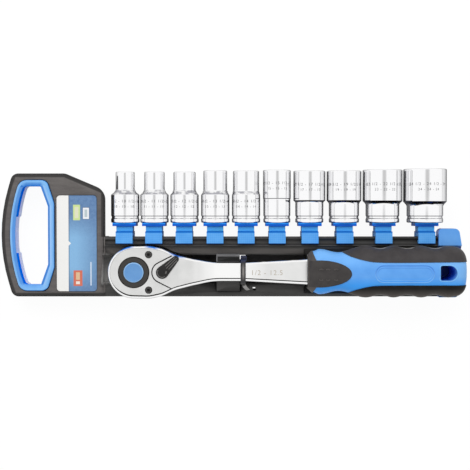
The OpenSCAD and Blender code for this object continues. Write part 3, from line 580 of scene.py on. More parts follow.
def tray_material():
    """Charcoal plastic: a streaked face, painted shade along its rim, and darker rail, trough and walls, with
    painted shade on the walls and deep places and painted light in the pocket beside the ratchet's head.
    """
    look = Look("charcoal_plastic", (84, 80, 79), 0.5, specular=0.3)
    x, y, z = look.axes()
    streaks = look.noise(5, 5, (0.25, 1.6, 1))
    fleck = look.noise(0.8, 3, (0.4, 1.5, 1))
    face = streaks.cloud((88, 84, 83), (101, 97, 95))
    face = fleck.ramp(0.5, 0.75, 0.0, 0.35).mix(face, (120, 116, 114))

    # How far a place lies inside the plate's edge, over its five sides.
    lean = hypot(SHOULDER_L, SHOULDER_DROP)
    nx, ny = SHOULDER_DROP / lean, SHOULDER_L / lean
    from_bulge = BULGE_R - length(x - (PLATE_X0 + BULGE_R), y - PLATE_MID_Y)
    from_shoulder = nx * (RAIL_X0 - SHOULDER_L) + ny * PLATE_Y1 - (x * nx + y * ny)
    rail_y = high("tray").y - 50
    from_rail = RAIL_X0 - x + y.ramp(rail_y, rail_y + 1, 40.0, 0.0)
    inside = from_bulge
    for distance in (from_shoulder, PLATE_Y1 - y, y - PLATE_Y0, from_rail):
        inside = inside.math("MINIMUM", distance)
    # Painted shade: a dark band along the rim, with a darker line inside it, stands in for the shade on the
    # step of the plate's edge.
    plate = inside.ramp(2.4, 3.2, 1.0, 0.0).mix(face, (52, 50, 49))
    plate = (inside.band(2.6, 3.0, 0.25) * 0.6).mix(plate, (38, 37, 36))

    # Rail and trough: a pale ledge of painted light, two dark lines of painted shade at the edges of the
    # rail's groove, and the jaws beside the shank.
    dark = streaks.cloud((60, 59, 58), (70, 69, 68))
    lit_ledge, step, slot = (-15.9, -12.0), (-5.5, -4.7), (-9.2, -8.3)
    for line, tone in ((lit_ledge, (80, 77, 75)), (step, (50, 49, 48)), (slot, (34, 33, 33))):
        dark = y.band(*line, 0.2).mix(dark, tone)
    # Upper jaw: a black pad, partly black plastic and partly painted shade, with its rim painted pale as a
    # highlight.
    upper_jaw_shade_and_rim_light = box(x, y, -11.5, -21.3, 5.2, -17.6, 0.2).mix((120, 120, 122), (26, 26, 26))
    jaw = y.ramp(-31, -29).mix((66, 65, 64), upper_jaw_shade_and_rim_light)
    dark = z.ramp(JAW_Z, JAW_Z + 1).mix(dark, jaw)
    tone = x.ramp(RAIL_X0 - 0.3, RAIL_X0 + 0.1).mix(plate, dark)

    # Walls and deep places: painted shade, with painted light only in the pocket beside the ratchet's head.
    wall = look.facing()[2].ramp(0.2, 0.8, 1.0, 0.0)
    deep = z.ramp(7.0, 21.5, 1.0, 0.0)
    pocket_light_pool = box(x, y, -103.0, -39.5, -94.0, -16.0, 1.5) * z.ramp(1.0, 3.0)
    shade = pocket_light_pool.mix((66, 65, 65), (190, 189, 187))
    shaded_walls_and_depths = wall.larger(deep) * z.ramp(JAW_Z, JAW_Z + 1, 1.0, 0.35)
    look.paint(shaded_walls_and_depths.mix(tone, shade))
    return look.grain(0.3, 0.42, 0.56, 0.02, round_edges=0.35)


def ring_material():
    """Smooth blue plastic, its tone painted by the way it faces: a pale front, an inner slope and steep walls
    in painted shade, and a painted highlight on the inner crest.
    """
    look = Look("ring_blue_plastic", (70, 142, 226), 0.32, specular=0.35, coat=0.1)
    nx, ny, nz = look.facing()
    # Painted shade on slopes that face right, down and up.
    right = nx.ramp(0.15, 0.55, 0.0, 0.5)
    down = ny.ramp(-0.15, -0.5)
    up = ny.ramp(0.15, 0.5, 0.0, 0.4)
    depth = right.larger(down.larger(up))
    front = look.noise(12, 3).cloud((118, 180, 240), (128, 188, 245))
    # Inner slope on the right: a painted highlight at its crest, painted shade below it.
    inner = look.axes()[2].ramp(24.6, 24.9).mix((50, 128, 214), (164, 206, 252))
    tone = depth.mix(front, (28, 126, 222))
    tone = nx.ramp(-0.15, -0.4, 0.0, 0.95).mix(tone, inner)
    # Painted shade on steep faces.
    look.paint(nz.ramp(0.72, 0.6).mix(tone, (62, 142, 222)))
    return look.grain(0.35, 0.28, 0.4, 0.012)


def ring_wall_material(name, colour, specular):
    """Inner wall of the ring: strong blue, pale with painted light in the stepped part of its left side."""
    look = Look(name, colour, 0.3, specular=specular)
    x, y, z = look.axes()
    stepped = x.ramp(STEP_X - 1, STEP_X + 1, 1.0, 0.0) * y.band(STEP_Y - STEP_HALF, STEP_Y + STEP_HALF, 0.3)
    # Painted light: the stepped part of the left wall shows pale.
    pale = look.noise(5, 3).cloud((236, 240, 255), (216, 228, 255))
    look.paint(stepped.mix(colour, pale))
    look.gloss(look.noise(0.35), 0.26, 0.34)
    return look


def clip_material():
    """Blue plastic with a fine moulded grid on the front plate, deeper behind it with painted shade."""
    look = grained("clip_blue_plastic", (80, 160, 238), (92, 170, 244), 0.4, specular=0.2)
    x, y, z = look.axes()
    turn = 2 * pi / 1.5
    grid = (y * turn).math("SINE").larger((x * turn).math("SINE")).ramp(0.8, 1.0, 0.0, 0.35)
    plate = grid.mix(look.tone, (132, 196, 252))
    # Painted shade: the flange deeper, with a paler line along it, and deeper still past it.
    neck = y.ramp(4.9, 5.1).mix((84, 184, 252), (0, 92, 204))
    neck = y.band(7.0, 7.9, 0.1).mix(neck, (40, 146, 244))
    neck = y.ramp(7.9, 8.1).mix(neck, (16, 64, 132))
    tone = y.ramp(1.1, 1.5).mix(plate, neck)
    # Painted shade in the line where the plate meets the neck, and along the plate's lower edge.
    tone = y.band(0.2, 1.7, 0.1).mix(tone, (14, 112, 204))
    look.paint(y.ramp(-8.1, -7.5, 1.0, 0.0).mix(tone, (24, 80, 150)))
    look.bump(grid, 0.06)
    return look


def cap_material():
    """Blue end cap, deeper down its sides with painted shade, and pale with painted light on its open left
    side.
    """
    look = grained("cap_blue_plastic", (94, 162, 238), (104, 170, 242), 0.36, specular=0.35)
    x, y, z = look.axes()
    # Below z 23.5: painted light on the wall facing left, painted shade on the other sides.
    lit_open_side = look.facing()[0].ramp(-0.95, -0.6, 1.0, 0.0) * y.ramp(-2.6, -2.0)
    side = lit_open_side.mix((16, 70, 170), (222, 226, 250))
    look.paint(z.ramp(25.6, 23.5).mix(look.tone, side))
    return look


def chrome_material(name="polished_chrome", roughness=0.05, tint=(250, 250, 251), edge=0.15):
    """Chrome plate, with turning marks and smears in its gloss."""
    look = Look(name, tint, roughness, metallic=1.0, edge=edge)
    scratch = look.noise(0.25, 2, TURNED)
    smeared = look.noise(6, 4).ramp(0.4, 0.7) * scratch.ramp(0.45, 0.75)
    look.gloss(smeared, roughness, roughness + 0.08, 0.0, 1.0)
    look.bump(scratch, 0.001)
    return look


def soft_material():
    """Chrome on the sockets' steps, with clouds of grey painted in as reflections."""
    look = Look("chrome_painted_reflections", (230, 230, 232), 0.22, metallic=1.0, edge=0.3)
    cloud = look.noise(4.5, 4, (1, 2, 1))
    # Painted reflections: clouds of grey over the chrome.
    look.paint(cloud.ramp(0.42, 0.58).mix((176, 176, 182), (248, 248, 248)))
    look.gloss(cloud, 0.14, 0.3)
    look.bump(look.noise(0.3), 0.001)
    return look


def undercut_material():
    """Chrome on the wide sockets' step, away from the light: painted shade, paler at its ends, with patches
    of painted blue reflection.
    """
    look = Look("shaded_step_chrome", (30, 30, 32), 0.25, metallic=1.0, edge=0.3)
    cloud = look.noise(7)
    # Painted shade with patches of painted blue reflection.
    dark = cloud.ramp(0.58, 0.64).mix((26, 26, 28), (22, 40, 96))
    # Painted by the way it faces: pale where the step turns sideways.
    look.paint(look.facing()[2].ramp(0.2, 0.6).mix((170, 170, 176), dark))
    look.gloss(cloud, 0.2, 0.3)
    return look


def flank_material():
    """Polished flank of head and shank, with painted blue reflections of the clips in its upper edge."""
    look = Look("polished_flank", (248, 248, 248), 0.12, metallic=1.0, edge=0.3)
    x = look.axes()[0]
    nx, ny, nz = look.facing()
    upper = ny.ramp(0.2, 0.5) * nz.ramp(0.04, 0.16)
    clips = x.band(-86, -76, 2.0).larger(x.band(-65, -57, 2.0)).larger(x.band(-46, -38, 3.0))
    # Painted reflections: blue bands in the upper edge beside the clips.
    look.paint((upper * clips).mix((248, 248, 248), (64, 134, 226)))
    look.gloss(look.noise(6, 4), 0.1, 0.18, 0.4)
    look.bump(look.noise(0.25, 2, TURNED), 0.001)
    return look


def satin_material():
    """Satin chrome, blasted to a soft grain, polished bright along the middle of the shank, with a painted
    glint across its narrowing neck.
    """
    look = Look("satin_chrome", (217, 217, 216), 0.34, metallic=1.0)
    x = look.axes()[0]
    dull = look.noise(10, 4).cloud((220, 220, 219), (228, 228, 227))
    polished = x.ramp(-29, -13) * x.ramp(8, 26, 1.0, 0.35)
    # Painted highlight: a soft glint across the neck.
    painted_glint = x.band(-28.5, -26.0, 2.5) * 0.4
    look.paint(polished.larger(painted_glint).mix(dull, (255, 255, 254)))
    return look.grain(0.22, 0.28, 0.4, 0.006)


def rubber_material(name, colour, lighter, specular=0.3):
    """Soft black grip, paler with painted light at the lower side and with painted highlights in the steep
    part of its valleys.
    """
    look = Look(name, colour, 0.6, specular=specular)
    look.set("Sheen Weight", 0.2)
    look.set("Sheen Roughness", 0.25)
    x, y, z = look.axes()
    tone = look.noise(7, 4).cloud(colour, lighter)
    # Painted light along the lower side.
    tone = y.ramp(AXIS_Y - 12.5, AXIS_Y - 18.0, 0.0, 0.8).mix(tone, (92, 86, 82))
    wave = ((x - WAVE_X) * (2 * pi / WAVE_L)).math("COSINE")
    valley = wave.ramp(0.1, -0.5) * x.band(104, 170, 1.0)
    # Painted highlights on the steep part of the valleys.
    steep = look.facing()[2].band(0.06, 0.2, 0.05)
    look.paint((steep * valley * 0.8).mix(tone, (176, 174, 170)))
    return look.grain(0.28, 0.5, 0.68, 0.03)


def handle_material():
    """Hard blue plastic: pale above with painted light, deeper below with painted shade, with the panel's
    lines in painted light and shade, and painted shade and light inside the hole.
    """
    look = grained("handle_blue_plastic", (94, 164, 242), (102, 172, 247), 0.34, specular=0.35)
    x, y, z = look.axes()
    # Painted light on the upper side.
    tone = y.ramp(TOP_Y + 3, TOP_Y + 16, 0.0, 0.8).mix(look.tone, (126, 190, 253))
    tone = x.ramp(154, 172, 0.0, 0.7).mix(tone, (134, 194, 252))
    # Painted shade on the lower side.
    tone = y.ramp(TOP_Y - 2, TOP_Y - 9).mix(tone, (56, 162, 255))
    beyond = ((x - 130.1).math("ABSOLUTE") - 15.8).larger(0.0)
    away = length(beyond, y - TOP_Y)
    lines = away.band(6.0, 6.7).larger(away.band(4.5, 4.9))
    # The panel's lines: painted highlight on their lower half, painted shade on their upper half.
    lines_light_and_shade = y.ramp(TOP_Y - 4, TOP_Y + 4, 1.0, 0.0).mix((62, 128, 216), (138, 200, 253))
    tone = (lines * 0.75).mix(tone, lines_light_and_shade)
    # Inside the hole: painted shade to the left, painted light to the right.
    in_hole = box(x, y, 156.6, HOLE_Y - 6.1, 170.0, HOLE_Y + 6.1, 0.2) * z.ramp(32.0, 43.5, 1.0, 0.0)
    look.paint(in_hole.mix(tone, x.ramp(158.5, 167.5).mix((10, 36, 190), (40, 124, 255))))
    return look


def button_material():
    """Blue button, paler round its rim."""
    look = grained("button_blue_plastic", (100, 152, 210), (106, 158, 214), 0.3, specular=0.35)
    x, y, z = look.axes()
    rim = length(x - HEAD_X, y - AXIS_Y).ramp(BUTTON_R - 0.95, BUTTON_R - 0.45)
    look.paint(rim.mix(look.tone, (158, 200, 242)))
    return look


def drive_material():
    """Drive hub: black oxide ring above, bright steel square below."""
    look = grained("drive_steel", (40, 37, 35), (48, 45, 42), 0.34)
    bright = look.axes()[2].ramp(HEAD_Z - 0.3, HEAD_Z + 0.1, 1.0, 0.0)
    look.paint(bright.mix(look.tone, (206, 206, 208)))
    look.set("Metallic", bright)
    return look


def strap_material():
    """Glossy black strip with a painted highlight along its paler middle and a painted navy reflection at its
    upper end.
    """
    look = grained("glossy_black_strip", (20, 20, 22), (28, 28, 30), 0.2, coat=0.3, specular=0.4)
    x, y, z = look.axes()
    # Painted highlight along the middle of the strip.
    middle = y.band(AXIS_Y - 4.2, AXIS_Y + 4.6, 2.6) * x.band(7.6, 9.0, 0.6)
    painted_highlight_middle = (middle * 0.85).mix(look.tone, (150, 146, 142))
    # Painted navy reflection at the strip's upper end.
    look.paint(y.ramp(AXIS_Y + 6.4, AXIS_Y + 8.4).mix(painted_highlight_middle, (14, 26, 60)))
    return look


def card_material():
    """Coated card: a bare white strip, a blue field and plain badges."""
    look = Look("printed_card", (240, 240, 238), 0.3, coat=0.1)
    x, y, z = look.axes()
    middle = y.ramp(-45.0, 29.0).band(0.12, 0.68, 0.12) * x.ramp(-126.0, -105.0).ramp(0.25, 1.0, 1.0, 0.25)
    tone = look.noise(2.6, 5).ramp(0.35, 0.65, 0.0, 0.6).mix((88, 124, 170), (110, 146, 188))
    tone = middle.mix(tone, (134, 184, 226))
    tone = (x.band(-126.8, -126.0) * 0.55).mix(tone, (96, 96, 104))
    arrow = ((y + 8.0).math("ABSOLUTE") + (x + 124.9)).ramp(-0.1, 0.1, 1.0, 0.0)
    strip = x.ramp(-126.9, -126.6, 1.0, 0.0)
    tone = strip.larger(arrow).mix(tone, (244, 243, 240))
    for corners, badge in (
        ((-123.2, 9.9, -117.8, 21.9), (206, 226, 150)),
        ((-122.0, 11.6, -119.0, 20.2), (224, 226, 196)),
        ((-115.9, 10.6, -110.6, 20.0), (70, 96, 134)),
        ((-115.6, 10.9, -110.9, 19.6), (240, 242, 246)),
        ((-114.4, 12.4, -112.2, 18.2), (186, 200, 206)),
        ((-123.0, -41.0, -116.1, -28.9), (214, 112, 88)),
        ((-121.1, -36.2, -118.1, -30.4), (226, 190, 150)),
        ((-121.1, -39.6, -118.1, -37.4), (244, 232, 222)),
        ((-109.9, -40.6, -109.1, -22.4), (226, 238, 250)),
    ):
        tone = box(x, y, *corners).mix(tone, badge)
    look.paint(tone)
    return look.grain(0.5, 0.24, 0.36, 0.006)


TRAY = tray_material()
RING = ring_material()
RING_WALL = ring_wall_material("ring_wall_plastic", (0, 132, 250), 0.0)
# The foot's pale tone is painted light.
RING_FOOT = ring_wall_material("ring_foot_plastic", (236, 240, 255), 0.5)
CARD = card_material()
CAP = cap_material()
CLIP = clip_material()
CHROME = chrome_material()
FLANK = flank_material()
SOFT = soft_material()
GROOVE = chrome_material("groove_shade", 0.4, (120, 120, 124), 0.6)
UNDERCUT = undercut_material()
SATIN = satin_material()
STEEL = chrome_material("ground_steel", 0.28, (170, 170, 172))
WIRE = chrome_material("spring_wire", 0.22, (150, 150, 156))
ETCH = chrome_material("etched_marks", 0.5, (88, 88, 92), 1.0)
SHANK_ETCH = chrome_material("shank_etched_marks", 0.45, (196, 188, 176), 0.8)
OXIDE = grained("black_oxide_steel", (50, 48, 47), (58, 56, 54), 0.36)
SEAM = grained("seam_shadow", (30, 30, 30), (38, 37, 36), 0.6, specular=0.2)
LEVER = grained("lever_black_plastic", (18, 17, 16), (28, 27, 26), 0.3, specular=0.35)
# The lever's ribs are its black plastic, painted pale as highlights.
RIB = grained("lever_rib_painted_highlight", (96, 94, 92), (116, 114, 112), 0.26, coat=0.3)
BUTTON = button_material()
DRIVE = drive_material()
HANDLE = handle_material()
# The hole's rim is painted pale as a highlight.
HOLE_RIM = grained("hole_rim_painted_highlight", (124, 190, 250), (134, 198, 253), 0.34, specular=0.35)
# Both skins are one rubber: the lower skin's copy is painted darker as shade.
RUBBER = rubber_material("black_grip_rubber", (58, 55, 56), (67, 64, 65))
RUBBER_SHADED = rubber_material("grip_rubber_painted_shade", (22, 21, 20), (32, 31, 30), 0.12)
PAD = rubber_material("thumb_pad_rubber", (56, 53, 53), (66, 63, 62))
COLLAR = rubber_material("collar_rubber", (76, 72, 70), (86, 82, 80))
STRAP = strap_material()
# The tie's cut end is the black strip, painted grey as a highlight.
TAIL = grained("strip_end_painted_highlight", (120, 119, 117), (150, 148, 146), 0.22, coat=0.3)


# ---- Camera, floor and light ----

def camera():
    """The photograph's view: straight down on the set from 0.78 m, with a long lens."""
    eye = Vector((2.0, 16.27, 780.0)) * MM
    target = Vector((2.0, -1.5, 24.0)) * MM
    data = bpy.data.cameras.new("camera")
    data.sensor_width = 36.0
    data.lens = data.sensor_width * 978 / 470
    data.clip_start = 0.01
    data.clip_end = 20
    made = put("camera", data)
    made.location = eye
    made.rotation_euler = (atan2(target.y - eye.y, eye.z - target.z), 0, 0)
    bpy.context.scene.camera = made


def floor():
    """Pale floor that shows white and keeps the set's shadow."""
    reach = 2500.0
    below = -0.05
    look = Look("pale_floor", (255, 255, 255), 0.9, specular=0.0)
    lit = look.rays("Camera").ramp(0.0, 1.0, 0.85, 0.08)
    look.paint(look.add("CombineColor", {0: lit, 1: lit, 2: lit}))
    glow = look.seen_rays().ramp(0.0, 1.0, 0.0, 0.12)
    look.set("Emission Color", WHITE)
    look.set("Emission Strength", glow + look.rays("Camera").ramp(0.0, 1.0, 0.0, 0.82))
    rows = [[(x, y, below) for x in (-reach, reach)] for y in (-reach, reach)]
    loft("floor", rows, [look], closed=False, caps=(False, False))


def lights():
    """Even light, a soft lamp from above, and a white sky with a small dark patch over the set."""
    world = bpy.data.worlds.new("studio")
    bpy.context.scene.world = world
    world.use_nodes = True
    nodes = Nodes(world.node_tree)
    fill = nodes.tree.nodes["Background"]
    nodes.feed(fill, "Color", WHITE)
    nodes.feed(fill, "Strength", 0.62)
    patch_x, patch_y = 0.04, 0.035
    half_x, half_y = 0.26, 0.072
    patch = nodes.add("Mapping", {
        "Vector": nodes.add("TexCoord", output="Generated"),
        "Location": (-patch_x / half_x, -patch_y / half_y, -1.0),
        "Scale": (1 / half_x, 1 / half_y, 1.0),
    })
    away = nodes.add("VectorMath", {0: patch}, "Value", operation="LENGTH")
    sky = nodes.add("Background", {"Color": WHITE, "Strength": away.ramp(0.4, 1.0, 0.6, 1.0)})
    whole = nodes.add("MixShader", {0: nodes.seen_rays(), 1: Value(nodes, fill.outputs[0]), 2: sky})
    nodes.feed(nodes.tree.nodes["World Output"], "Surface", whole)
    data = bpy.data.lights.new("softbox", "AREA")
    data.shape = "RECTANGLE"
    data.size = 0.9
    data.size_y = 0.6
    data.energy = 4.6
    lamp = put("softbox", data)
    lamp.location = (-0.15, 0.55, 0.75)
    lamp.rotation_mode = "QUATERNION"
    lamp.rotation_quaternion = (Vector((0, -0.01, 0.02)) - lamp.location).to_track_quat("-Z", "Y")
    lamp.visible_glossy = False


# ---- Pieces ----

def stand_in(piece, body, nodes=()):
    """The piece rides on a body and stands for the CAD nodes named."""
    keep_flats(piece)
    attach(piece, body)
    if nodes:
        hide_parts(*nodes)
    return piece


def ring_piece():
    """Grip ring: a flat front, an inner slope and a drafted wall, stepped back on its left."""
    section = [(0.25, 1.0), (0.25, 24.6), (0.4, 25.1), (0.75, 25.4), (1.9, 25.4), (3.8, 24.05), (4.05, 23.6)]
    section += [(3.55, 13.2), (3.0, 1.2), (2.8, 1.0)]
    slots = [0] * 6 + [1, 2, 2, 0]
    widening, wall_inset, draft = 1.3, 4.05, 0.1
    rings = []
    for inset, z in section:
        back = ring_outline(min(inset, wall_inset - (24.0 - z) * draft) if z < 23 else inset)
        ring = []
        for (x, y), (wx, wy), stepped in zip(ring_outline(inset), ring_outline(inset * widening), back):
            near_end = max((x + 160) / 14, (abs(y + 1.85) - 36.5) / 2)
            share = min(1.0, max(0.0, near_end)) if inset > 1.5 else 0.0
            on_step = x < STEP_X and abs(y - STEP_Y) < STEP_HALF
            ring.append(stepped if on_step else (x + (wx - x) * share, y + (wy - y) * share))
        rings.append(level(ring, z))
    rings.append(rings[0])
    looks = [RING, RING_WALL, RING_FOOT]
    piece = loft("grip_ring_moulding", rings, looks, caps=(False, False), slots=slots)
    stand_in(piece, "tray", ["grip_ring"])


def tray_piece():
    """Tray: the CAD moulding, undercut below its rim beside the sockets."""
    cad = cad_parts["tray"]
    bm = bmesh.new()
    bm.from_mesh(cad.data)
    for vertex in bm.verts:
        vertex.co = cad.matrix_world @ vertex.co / MM
    bmesh.ops.remove_doubles(bm, verts=bm.verts, dist=0.002)
    piece = make_mesh("tray_moulding", bm, [TRAY])
    foot_y, rim_z, undercut, far_y = -2.85, 21.4, 3.3, 80.0
    foot = (RAIL_X0, foot_y)
    turn = (RAIL_X0, PLATE_Y1 - SHOULDER_DROP)
    head = (RAIL_X0 - SHOULDER_L, PLATE_Y1)
    left = head[0] - 20
    path = [foot] + corner(foot, turn, head, 11, 16) + [(left, PLATE_Y1 + 8.5)]
    beyond = [(left, far_y), (-60, far_y), (-60, foot_y)]
    rings = []
    for z, shift in ((-1.0, -undercut), (rim_z, 0.04)):
        rings.append(level([(x + shift, y) for x, y in path] + beyond, z))
    carve(piece, [loft("cutter", rings, [])])
    stand_in(piece, "tray", ["tray"])


def socket_profile(outer, length_y):
    """Turned outline of a socket, as (radius, height) from its drive end, and each turn's look.

    Looks: 0 polished, 1 painted reflections, 2 groove shade, 3 painted shade on the step."""
    nose, tail, shoulder, cone = outer
    nr, tr = nose / 2, tail / 2
    top = shoulder + cone
    foot_r, lip_r, sunk = 0.9, 0.8, 0.5
    points = [(tr - foot_r, 0.0)]
    points += arc((tr - foot_r, foot_r), foot_r, -70, 0, 4)
    slots = [0] * len(points) + [1, 0, 2, 0]
    points += [(tr, 2.95), (tr - sunk, 3.55), (tr - sunk, 4.9), (tr, 5.45)]
    if nr < tr:
        points += arc((tr - 0.5, shoulder - 0.5), 0.5, 0, 50, 4)
        points += [(nr + (tr - nr) * 0.35, shoulder + cone * 0.45)]
        points += [(nr + 0.35, top - 0.3), (nr + 0.1, top), (nr, top + 0.5)]
        slots += [0] * 4 + [1] * 3
    else:
        points += [(tr, shoulder - 0.5), (tr + 0.12, shoulder)]
        points += [(tr + (nr - tr) * 0.3, shoulder + cone * 0.35)]
        points += [(nr - 0.1, top - 0.2), (nr, top + 0.2)]
        slots += [0, 0] + [3 if nr > tr + 0.5 else 2] * 2
    points += arc((nr - lip_r, length_y - lip_r), lip_r, 0, 90, 5)
    slots += [0] * (len(points) - 1 - len(slots))
    return points, slots


def marks(name, size, place, radius, row):
    """Two rows of plain numbers, the size and the drive, etched round a socket."""
    bm = bmesh.new()
    lift = radius + 0.015
    strip = 0.7
    rows = ((f"{size} 1/2 - {size} 1/2 - {size}", 2.3, 2.0), (f"{size} - {size} - {size}", 2.0, -2.0))
    for words, height, rise in rows:
        flat = letters(words, height * 1.35, 1.25, "CENTER")
        width = min(radius * 1.9, max(v.co.x for v in flat.verts))
        cut = -width
        while cut < width:
            every = flat.verts[:] + flat.edges[:] + flat.faces[:]
            bmesh.ops.bisect_plane(flat, geom=every, plane_co=(cut, 0, 0), plane_no=(1, 0, 0))
            cut += strip
        for vertex in flat.verts:
            angle = vertex.co.x / radius
            vertex.co = place(lift * sin(angle), lift * cos(angle), row + rise + vertex.co.y)
        made = bpy.data.meshes.new("letters")
        flat.to_mesh(made)
        flat.free()
        bm.from_mesh(made)
        bpy.data.meshes.remove(made)
    return make_mesh(name, bm, [ETCH])


def socket_piece(size, *outer):
    """Socket: turned shell, hexagon with a lead-in chamfer, square drive and its bore."""
    name = f"socket_{size}"
    centre = (low(name) + high(name)) / 2
    back = low(name).y
    length_y = high(name).y - back
    flat = size + 0.2
    hex_deep, square_deep, square_half, turn = 14, 15.5, 6.45, pi / 4

    def place(a, b, h):
        return (centre.x + a, back + h, centre.z + b)

    def place_square(a, b, h):
        return place(a * cos(turn) - b * sin(turn), a * sin(turn) + b * cos(turn), h)

    profile, slots = socket_profile(outer, length_y)
    rings = revolve_rings(profile, 96, place)
    piece = loft(f"{name}_shell", rings, [CHROME, SOFT, GROOVE, UNDERCUT], sharp=28, slots=slots)
    hexagon = [(flat / 2 / cos(pi / 6), h) for h in (length_y - hex_deep, length_y + 1)]
    lead = [(flat / 2 - 1, length_y - 2.2), (flat / 2 + 1.6, length_y + 0.6)]
    square = [(square_half * sqrt(2), h) for h in (-1, square_deep)]
    bore = [(min(flat / 2 - 0.6, 5.8), h) for h in (square_deep - 0.5, length_y - 13.5)]
    cuts = ((hexagon, place, 6), (lead, place, 96), (square, place_square, 4), (bore, place, 48))
    carve(piece, [turned("cutter", cut, where, [], steps) for cut, where, steps in cuts])
    stand_in(piece, name, [name])
    nose, tail, shoulder, cone = outer
    wide, row = (nose, (shoulder + cone + length_y) / 2 - 2.2) if nose >= tail else (tail, 13.6)
    etched = marks(f"{name}_marks", size, place, wide / 2, row)
    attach(etched, name)


def sockets():
    """The row of sockets: size, nose and tail across, the tail's length and the cone's."""
    for row in (
        (10, 14.8, 22, 21.9, 3.5),
        (11, 15.9, 22, 21.9, 3.5),
        (12, 17.3, 22, 21.9, 3.2),
        (13, 18.5, 22, 21.9, 2.8),
        (14, 20.3, 22, 21.9, 2.2),
        (15, 21.6, 21, 18.2, 0.6),
        (17, 24.8, 21.8, 15.8, 1.4),
        (19, 26.9, 23.4, 14.9, 2.3),
        (22, 30.7, 26, 14.4, 2.5),
        (24, 33.4, 28, 13.3, 3.1),
    ):
        socket_piece(*row)


def ratchet_top(u):
    """Height of the upper face of head and shank at u from the head's centre."""
    return blend(u, 32, 60.5, FACE_Z, 35.5)


def ratchet_bottom(u):
    """Height of its lower face at u."""
    return blend(u, 22, 45, HEAD_Z, 24.5)


def ratchet_body_piece():
    """Head and shank: a flat face, a fine groove at its edge and polished flanks."""
    flat_inset, groove_inset, groove, groove_u = 2.6, 2.15, 0.55, -14
    edge = [(flat_inset, 0.0), (groove_inset, 0.0), (1.85, 0.0), (1.7, 0.0), (1.2, 0.14)]
    edge += [(0.65, 0.5), (0.25, 1.05), (0.04, 1.8), (0.0, 2.6)]
    foot = [(0.0, 2.2), (0.3, 1.1), (1.0, 0.3), (flat_inset, 0.0)]
    outlines = {inset: ratchet_outline(inset) for inset, _ in edge + foot}
    rings = []
    for i in range(len(outlines[0.0])):
        u_top, w_top = outlines[flat_inset][i]
        halves = []
        for side in (1, -1):
            half = [(u_top, side * w_top * t, ratchet_top(u_top)) for t in (0.0, 0.35, 0.7)]
            for inset, drop in edge:
                u, w = outlines[inset][i]
                sunk = groove if inset == groove_inset and side < 0 and u > groove_u else 0.0
                half.append((u, side * w, ratchet_top(u) - drop - sunk))
            for inset, rise in foot:
                u, w = outlines[inset][i]
                half.append((u, side * w, ratchet_bottom(u) + rise))
            half += [(u_top, side * w_top * t, ratchet_bottom(u_top)) for t in (0.5, 0.0)]
            halves.append(half)
        ring = halves[0] + halves[1][-2:0:-1]
        rings.append([(HEAD_X + u, AXIS_Y + v, z) for u, v, z in ring])
    # Satin up to the edge, polished below it, and painted shade in the groove of the lower side.
    steps = range(len(halves[0]) - 1)
    slots = [0 if step < 6 else 1 for step in steps]
    slots += [2 if step in (3, 4) else 0 if step < 6 else 1 for step in reversed(steps)]
    options = {"sharp": 40, "caps": (False, True), "column_slots": slots}
    piece = loft("head_and_shank", rings, [SATIN, FLANK, SEAM], **options)
    cutters = [slab(cover_outline(EDGE, EDGE, -0.2), COVER_Z - 0.2, ABOVE, SEAM)]
    for r, z0, z1 in ((9.8, HEAD_Z - 1, HEAD_Z + 3), (BUTTON_R + 0.9, BUTTON_TOP - 7.6, ABOVE)):
        cutters.append(turned("cutter", [(r, z0), (r, z1)], standing(HEAD_X, AXIS_Y), [SEAM]))
    carve(piece, cutters)
    stand_in(piece, "ratchet", ["ratchet_body"])


def shank_marks():
    """Plain drive size, faintly etched on the shank."""
    bm = letters("1/2 - 12.5", 5.4, 1.15)
    for vertex in bm.verts:
        vertex.co = Vector((14.0 + vertex.co.x, AXIS_Y - 2.4 + vertex.co.y, ratchet_top(90) + 0.012))
    piece = make_mesh("shank_marks", bm, [SHANK_ETCH])
    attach(piece, "ratchet")


def cover_piece():
    """Cover plate: chamfered at its rim, its notch, its screws and the drive's hub."""
    lips = [(0.0, COVER_Z), (0.0, FACE_Z - 0.32), (0.3, FACE_Z)]
    rings = [level(cover_outline(EDGE + 0.04 + d * 0.4, EDGE + 0.7 + d, 0.4 + d), z) for d, z in lips]
    piece = loft("ratchet_cover", rings, [SATIN, SEAM])
    hub, screw = HUB_R + 0.25, SCREW_R + 0.2
    bores = [((HEAD_X, AXIS_Y), [(hub, -3), (hub, -0.5), (hub + 0.6, 0.1)], 96)]
    bores += [(at, [(screw, -3), (screw, -0.25), (screw + 0.35, 0.1)], 48) for at in SCREW_AT]
    carve(piece, [turned("cutter", bore, standing(*at, FACE_Z), [FLANK], steps) for at, bore, steps in bores])
    stand_in(piece, "ratchet", ["cover_plate"])


def screw_piece():
    """Cover screws: low domed heads with a six-lobed socket."""
    top = FACE_Z - 0.15
    heads = []
    for x, y in SCREW_AT:
        profile = [(SCREW_R, -1.6), (SCREW_R, -0.7), (SCREW_R - 0.15, -0.35)]
        profile += [(SCREW_R - 0.5, -0.12), (1.3, 0.0)]
        head = turned("cover_screw_heads", profile, standing(x, y, top), [OXIDE, SEAM], 48)
        reach = [(1.2 + 0.22 * cos(6 * a), a) for a in circle(48)]
        lobes = [(x + r * cos(a), y + r * sin(a)) for r, a in reach]
        carve(head, [slab(lobes, top - 1.1, top + 1, SEAM)])
        shank = turned("shank", [(1.4, -8), (1.4, -1.2)], standing(x, y, top), [OXIDE], 24)
        heads += [head, shank]
    stand_in(join(heads, "cover_screw_heads"), "ratchet", ["cover_screws"])


